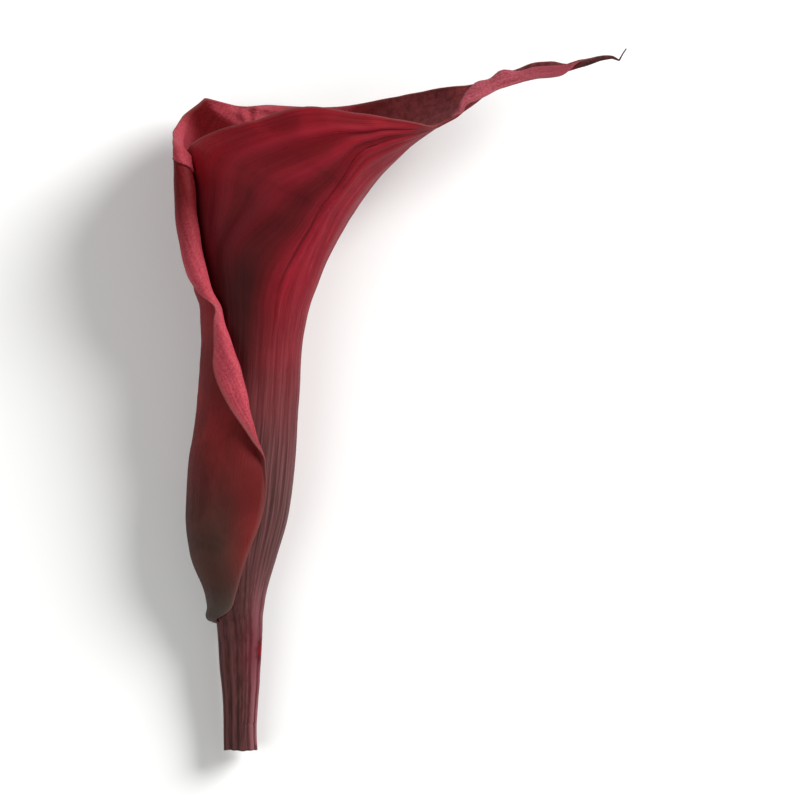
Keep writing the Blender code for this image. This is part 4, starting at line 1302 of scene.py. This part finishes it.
def build_zone(name, node, settings, shape, material):
    """One zone of the finger with its florets, bent to the finger's own curve."""
    start, end, size, sunk = (getattr(settings, key) / MM for key in ("start", "end", "size", "sunk"))
    places = ("root", "middle", "tip")
    radii = [getattr(settings, place + "_radius") / MM - sunk for place in places]
    verts, faces = finger_core(start, end, radii)
    piece = add_object(name, new_mesh(name, verts, faces))
    tree = floret_tree(name, shape)
    values = {
        "Florets": settings.florets, "Start": start + size / 2, "End": end - size / 3,
        "Size": size, "Unevenness": size * UNEVENNESS, "Seed": settings.seed, "Finish": material,
        **{place.title() + " Radius": radius for place, radius in zip(places, radii)},
    }
    modifier = piece.modifiers.new("florets", "NODES")
    modifier.node_group = tree
    for item in tree.interface.items_tree:
        if item.name in values:
            modifier[item.identifier] = values[item.name]
    graph = bpy.context.evaluated_depsgraph_get()
    real = bpy.data.meshes.new_from_object(piece.evaluated_get(graph), depsgraph=graph)
    piece.modifiers.clear()
    piece.data = real
    points = np.zeros(len(real.vertices) * 3)
    real.vertices.foreach_get("co", points)
    points = points.reshape(-1, 3)
    middles = finger_axis(points[:, 2])
    upright = np.column_stack([points[:, 0] + middles, points[:, 2], -points[:, 1]])
    real.vertices.foreach_set("co", lie_down(upright).reshape(-1))
    real.update()
    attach(piece, "root")
    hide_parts(node)
    return piece


def finger_axis(heights):
    """How far the finger's middle lies to the right at each height."""
    middles, knots = np.array(FINGER_AXIS).T
    return smooth_rows(knots, middles[:, None], heights)[:, 0]


def floret_material(name, dark, light, grain_scale):
    """Fine grains and broader patches between two colours."""
    shader = Shader(name)
    place = shader.object_place()
    patch = shader.noise(place, 450.0, detail=3.0)
    grain = shader.noise(place, grain_scale, roughness=0.7)
    tone = shader.span(shader.mixed(patch, 0.6, grain), 0.35, 0.65)
    return shader.finish(
        base_color=shader.blend(tone, colour(*dark), colour(*light)),
        roughness=shader.span(grain, 0.2, 0.8, 0.5, 0.75), specular_ior_level=0.3,
        normal=shader.bump(grain, 0.00004, 0.6), subsurface_weight=0.08,
        subsurface_radius=(0.6, 0.5, 0.2), subsurface_scale=0.0008,
    )


# The stage


def add_lamp(name, place, target, size, watts):
    """A round soft lamp that the camera doesn't see."""
    data = bpy.data.lights.new(name, "AREA")
    data.shape = "DISK"
    data.size = size
    data.energy = watts
    lamp = add_object(name, data)
    lamp.location = place
    lamp.rotation_euler = (Vector(target) - Vector(place)).to_track_quat("-Z", "Y").to_euler()
    lamp.visible_camera = False


def add_floor(settings):
    """White paper, a hair's breadth under the flower."""
    reach = settings.floor_size / 2
    corners = [(-reach, -reach, 0.0), (reach, -reach, 0.0), (reach, reach, 0.0), (-reach, reach, 0.0)]
    mesh = new_mesh("floor", corners, [(0, 1, 2, 3)])
    shader = Shader("floor_paper")
    mesh.materials.append(shader.finish(base_color=colour(*settings.floor_colour), roughness=0.9))
    floor = add_object("floor", mesh)
    floor.location.z = -FLOOR_GAP


def add_camera(settings):
    """The camera looks straight at the flower's own plane, as the photo does."""
    matrix = flower_matrix()
    turn = Matrix.Rotation(math.radians(TILT), 4, "X")
    target = matrix @ Vector((*VIEW_MIDDLE, 0.0))
    data = bpy.data.cameras.new("camera")
    data.sensor_width = 36.0
    data.lens = data.sensor_width * settings.camera_distance / (VIEW_WIDTH * MM)
    data.clip_end = 20.0
    camera = add_object("camera", data)
    away = Matrix.Translation((0.0, 0.0, settings.camera_distance))
    camera.matrix_world = Matrix.Translation(target) @ turn @ away
    bpy.context.scene.camera = camera


# Settings


def length(name, default, description):
    return bpy.props.FloatProperty(
        name=name, default=default, description=description, unit="LENGTH", precision=5)


def strength(name, default, description):
    return bpy.props.FloatProperty(name=name, default=default, description=description, min=0.0)


def tint(name, default, description):
    return bpy.props.FloatVectorProperty(
        name=name, default=default, description=description, subtype="COLOR", min=0.0, max=1.0)


def count(name, default, description):
    return bpy.props.IntProperty(name=name, default=default, description=description, min=0)


class CallaSpatheSettings(bpy.types.PropertyGroup):
    wall: length("Wall", 0.00065, "Thickness of the leaf at its middle")
    edge_wall: length("Edge", 0.00034, "Thickness of the leaf at its margins")
    rib_height: length("Rib height", 0.00014, "How far the soft lengthwise ribs stand out")
    foot_ribs: length("Foot ribs", 0.00011, "How far the ribs of the leaf's foot stand out")
    fold_furrow: length("Furrow", 0.0004, "Depth of the furrow beside the rolled fold")
    tuck: length("Tuck", 0.0005, "How far the flap's margin is drawn in over the near half")
    ripple: length("Ripple", 0.00022, "How far the margins wave")
    half_width: length("Half width", 0.03, "Width of half the leaf at its widest, for the scale of the veins")
    seed: count("Seed", 7, "Picks the ribs and the ripples")
    outer_dark: tint("Outside, dark", (0.125, 0.0036, 0.0072), "Darker patches of the outside")
    outer_light: tint("Outside, light", (0.2, 0.0068, 0.0132), "Lighter patches of the outside")
    # Painted sheen, with a powdery bloom
    outer_bloom_and_sheen: tint("Outside, dusty", (0.18, 0.007, 0.0155), "Dusty bloom beside the keel")
    foot_dark: tint("Lower part, dark", (0.045, 0.0155, 0.0155), "Darker streaks of the lower part")
    foot_light: tint("Lower part, light", (0.128, 0.047, 0.048), "Lighter streaks of the lower part")
    flap_dark: tint("Flap, dark", (0.116, 0.0086, 0.0092), "Darker patches of the flap's red part")
    flap_light: tint("Flap, light", (0.178, 0.0137, 0.0146), "Lighter patches of the flap's red part")
    olive_dark: tint("Flap's foot, dark", (0.0355, 0.0155, 0.0116), "Darker patches of the flap's lower part")
    olive_light: tint("Flap's foot, light", (0.0635, 0.0252, 0.019), "Lighter patches of the flap's foot")
    heel: tint("Heel", (0.062, 0.048, 0.04), "The flap's lowest lobe")
    # Pale fibres with painted glints on them
    fibre_and_glint: tint("Fibres", (0.37, 0.04, 0.065), "Fine pale fibres in the outside")
    # The crease is painted as a line of shade
    crease_place: length("Crease", 0.01215, "How far from the keel the front's sharp crease lies")
    crease_width: length("Crease width", 0.0004, "Width of the front's sharp crease")
    # Painted highlights on the ridges and painted shade in the furrows between them
    crest: tint("Ridges", (0.3, 0.014, 0.029), "The crests of the soft ridges at the mouth")
    trough: tint("Troughs", (0.085, 0.0035, 0.005), "The troughs between the ridges at the mouth")
    # A painted glowing red, standing in for light through the thin leaf
    glow: tint("Glow", (0.212, 0.0045, 0.009), "The brightest red of the front, under its rim")
    # Painted shade beside the rolled fold
    dusk: tint("Beside the fold", (0.032, 0.0045, 0.0045), "The dark skin beside the rolled fold")
    # The throat's inner skin in painted shade
    deep_dark: tint("Throat, dark", (0.075, 0.0025, 0.0035), "Darker specks of the throat")
    deep_light: tint("Throat, light", (0.125, 0.005, 0.0065), "Lighter specks of the throat")
    rose_dark: tint("Roll, dark", (0.33, 0.036, 0.053), "Darker specks of the rolled margin")
    rose_light: tint("Roll, light", (0.47, 0.07, 0.095), "Lighter specks of the rolled margin")
    wall_dark: tint("Inner wall, dark", (0.165, 0.027, 0.029), "Darker blotches of the wall towards the tip")
    wall_light: tint("Inner wall, light", (0.255, 0.046, 0.049), "Lighter blotches of that wall")
    tail_dark: tint("Tail, dark", (0.2, 0.031, 0.044), "Darker specks of the tail's lip")
    tail_light: tint("Tail, light", (0.38, 0.08, 0.104), "Lighter specks of the tail's lip")
    dried_dark: tint("Dried tip, dark", (0.038, 0.01, 0.01), "Darker blotches of the dried tip")
    dried_light: tint("Dried tip, light", (0.1, 0.029, 0.028), "Lighter blotches of the dried tip")
    margin: tint("Margin", (0.2, 0.08, 0.075), "The thin worn edge of the leaf")


class CallaStemSettings(bpy.types.PropertyGroup):
    sides: count("Sides", 176, "Points round the stem")
    row_step: length("Row step", 0.00035, "Distance between the stem's rings")
    rib_height: length("Rib height", 0.0002, "How far the lengthwise ribs stand out")
    seed: count("Seed", 3, "Picks the roughness of the cut end")
    # The shaded and the sunny side are painted shade and painted light: towards the main lamp the skin is
    # painted rose and lighter
    brown_dark: tint("Shaded side, dark", (0.031, 0.011, 0.0102), "Darker streaks of the shaded side")
    brown_light: tint("Shaded side, light", (0.096, 0.033, 0.0312), "Lighter streaks of the shaded side")
    rose_dark: tint("Sunny side, dark", (0.084, 0.0175, 0.0215), "Darker streaks of the sunny side")
    rose_light: tint("Sunny side, light", (0.22, 0.075, 0.088), "Lighter streaks of the sunny side")
    bruise: tint("Bruise", (0.15, 0.001, 0.007), "The small nick on the sunny side")
    bruise_rim: tint("Round the bruise", (0.06, 0.004, 0.008), "The dark skin round the nick")
    flush: tint("Flush", (0.1, 0.012, 0.02), "The reddened skin further round the nick")
    pith_dark: tint("Pith, dark", (0.28, 0.2, 0.12), "Darker cells of the cut end")
    pith_light: tint("Pith, light", (0.52, 0.47, 0.3), "Lighter cells of the cut end")


class CallaZoneSettings(bpy.types.PropertyGroup):
    florets: count("Florets", 80, "Florets in the zone")
    size: length("Floret size", 0.0018, "Width of a floret")
    sunk: length("Sunk", 0.0006, "How deep a floret's middle lies under the finger's surface")
    start: length("Start", 0.0307, "Height of the zone's lower end")
    end: length("End", 0.0434, "Height of the zone's upper end")
    root_radius: length("Root radius", 0.0033, "Radius at the zone's lower end")
    middle_radius: length("Middle radius", 0.0039, "Radius half way up the zone")
    tip_radius: length("Tip radius", 0.0037, "Radius at the zone's upper end")
    seed: count("Seed", 5, "Picks how the florets lean and differ")


class CallaStageSettings(bpy.types.PropertyGroup):
    floor_size: length("Floor", 6.0, "Width of the floor")
    camera_distance: length("Camera distance", 2.0, "From the camera to the flower")
    floor_colour: tint("Floor colour", (0.86, 0.86, 0.85), "Colour of the floor")
    key_watts: strength("Main lamp", 21.0, "Power of the main lamp in watts")
    fill_watts: strength("Fill lamp", 5.0, "Power of the fill lamp in watts")
    sky: strength("Sky", 0.28, "Strength of the light from all round")


# Operators


class CALLA_OT_spathe(bpy.types.Operator):
    """Make the rolled leaf, with its veins, its thin margins and its dried tip"""

    bl_idname = "calla.spathe"
    bl_label = "Spathe"

    def execute(self, context):
        piece = build_spathe(context.scene.calla_spathe)
        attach(piece, "root")
        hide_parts("spathe")
        return {"FINISHED"}


class CALLA_OT_stem(bpy.types.Operator):
    """Make the ribbed stem with its cut end"""

    bl_idname = "calla.stem"
    bl_label = "Stem"

    def execute(self, context):
        piece = build_stem(context.scene.calla_stem)
        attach(piece, "root")
        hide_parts("stem")
        return {"FINISHED"}


class CALLA_OT_ovaries(bpy.types.Operator):
    """Cover the lower zone of the spadix with ovaries"""

    bl_idname = "calla.ovaries"
    bl_label = "Ovaries"

    def execute(self, context):
        finish = floret_material("ovary_skin", (0.2, 0.27, 0.06), (0.5, 0.58, 0.24), 1800.0)
        build_zone("spadix_ovaries", "spadix_pistillate", context.scene.calla_ovaries, ovary_shape, finish)
        return {"FINISHED"}


class CALLA_OT_anthers(bpy.types.Operator):
    """Cover the upper zone of the spadix with anthers"""

    bl_idname = "calla.anthers"
    bl_label = "Anthers"

    def execute(self, context):
        finish = floret_material("anther_skin", (0.55, 0.27, 0.03), (0.85, 0.6, 0.12), 3000.0)
        build_zone("spadix_anthers", "spadix_staminate", context.scene.calla_anthers, anther_shape, finish)
        return {"FINISHED"}


class CALLA_OT_stage(bpy.types.Operator):
    """Set out the floor, the soft lamps and the camera"""

    bl_idname = "calla.stage"
    bl_label = "Stage"

    def execute(self, context):
        settings = context.scene.calla_stage
        add_floor(settings)
        for name, (place, target, size, watts) in LAMPS.items():
            add_lamp(name, place, target, size, getattr(settings, watts))
        world = bpy.data.worlds.new("studio")
        world.use_nodes = True
        sky = world.node_tree.nodes["Background"].inputs
        sky["Color"].default_value = colour(1.0, 1.0, 1.0)
        sky["Strength"].default_value = settings.sky
        context.scene.world = world
        context.scene.view_settings.view_transform = "Standard"
        add_camera(settings)
        return {"FINISHED"}


class CALLA_PT_sidebar(bpy.types.Panel):
    """Lists the flower's pieces, with their sizes and colours"""

    bl_label = "Calla Lily"
    bl_idname = "CALLA_PT_sidebar"
    bl_space_type = "VIEW_3D"
    bl_region_type = "UI"
    bl_category = "Calla Lily"

    def draw(self, context):
        for operator, settings in PIECES:
            box = self.layout.box()
            box.operator(operator.bl_idname)
            group = getattr(context.scene, settings)
            for name in group.bl_rna.properties.keys():
                if name not in ("rna_type", "name"):
                    box.prop(group, name)


PIECES = (
    (CALLA_OT_spathe, "calla_spathe"),
    (CALLA_OT_stem, "calla_stem"),
    (CALLA_OT_ovaries, "calla_ovaries"),
    (CALLA_OT_anthers, "calla_anthers"),
    (CALLA_OT_stage, "calla_stage"),
)

GROUPS = {
    "calla_spathe": CallaSpatheSettings,
    "calla_stem": CallaStemSettings,
    "calla_ovaries": CallaZoneSettings,
    "calla_anthers": CallaZoneSettings,
    "calla_stage": CallaStageSettings,
}

# Where the upper zone of the spadix differs from the lower one
ANTHER_ZONE = dict(
    florets=760, size=0.001, sunk=0.0004, start=0.0437, end=0.077,
    root_radius=0.0036, middle_radius=0.0035, tip_radius=0.0022, seed=11,
)


def classes():
    return [*dict.fromkeys(GROUPS.values()), *(operator for operator, _ in PIECES), CALLA_PT_sidebar]


def register():
    for cls in classes():
        bpy.utils.register_class(cls)
    for name, group in GROUPS.items():
        setattr(bpy.types.Scene, name, bpy.props.PointerProperty(type=group))
    for name, value in ANTHER_ZONE.items():
        setattr(bpy.context.scene.calla_anthers, name, value)


def unregister():
    for name in GROUPS:
        delattr(bpy.types.Scene, name)
    for cls in reversed(classes()):
        bpy.utils.unregister_class(cls)


def main():
    register()
    bpy.ops.calla.spathe()
    bpy.ops.calla.stem()
    bpy.ops.calla.ovaries()
    bpy.ops.calla.anthers()
    bpy.ops.calla.stage()


if __name__ == "__main__":
    main()
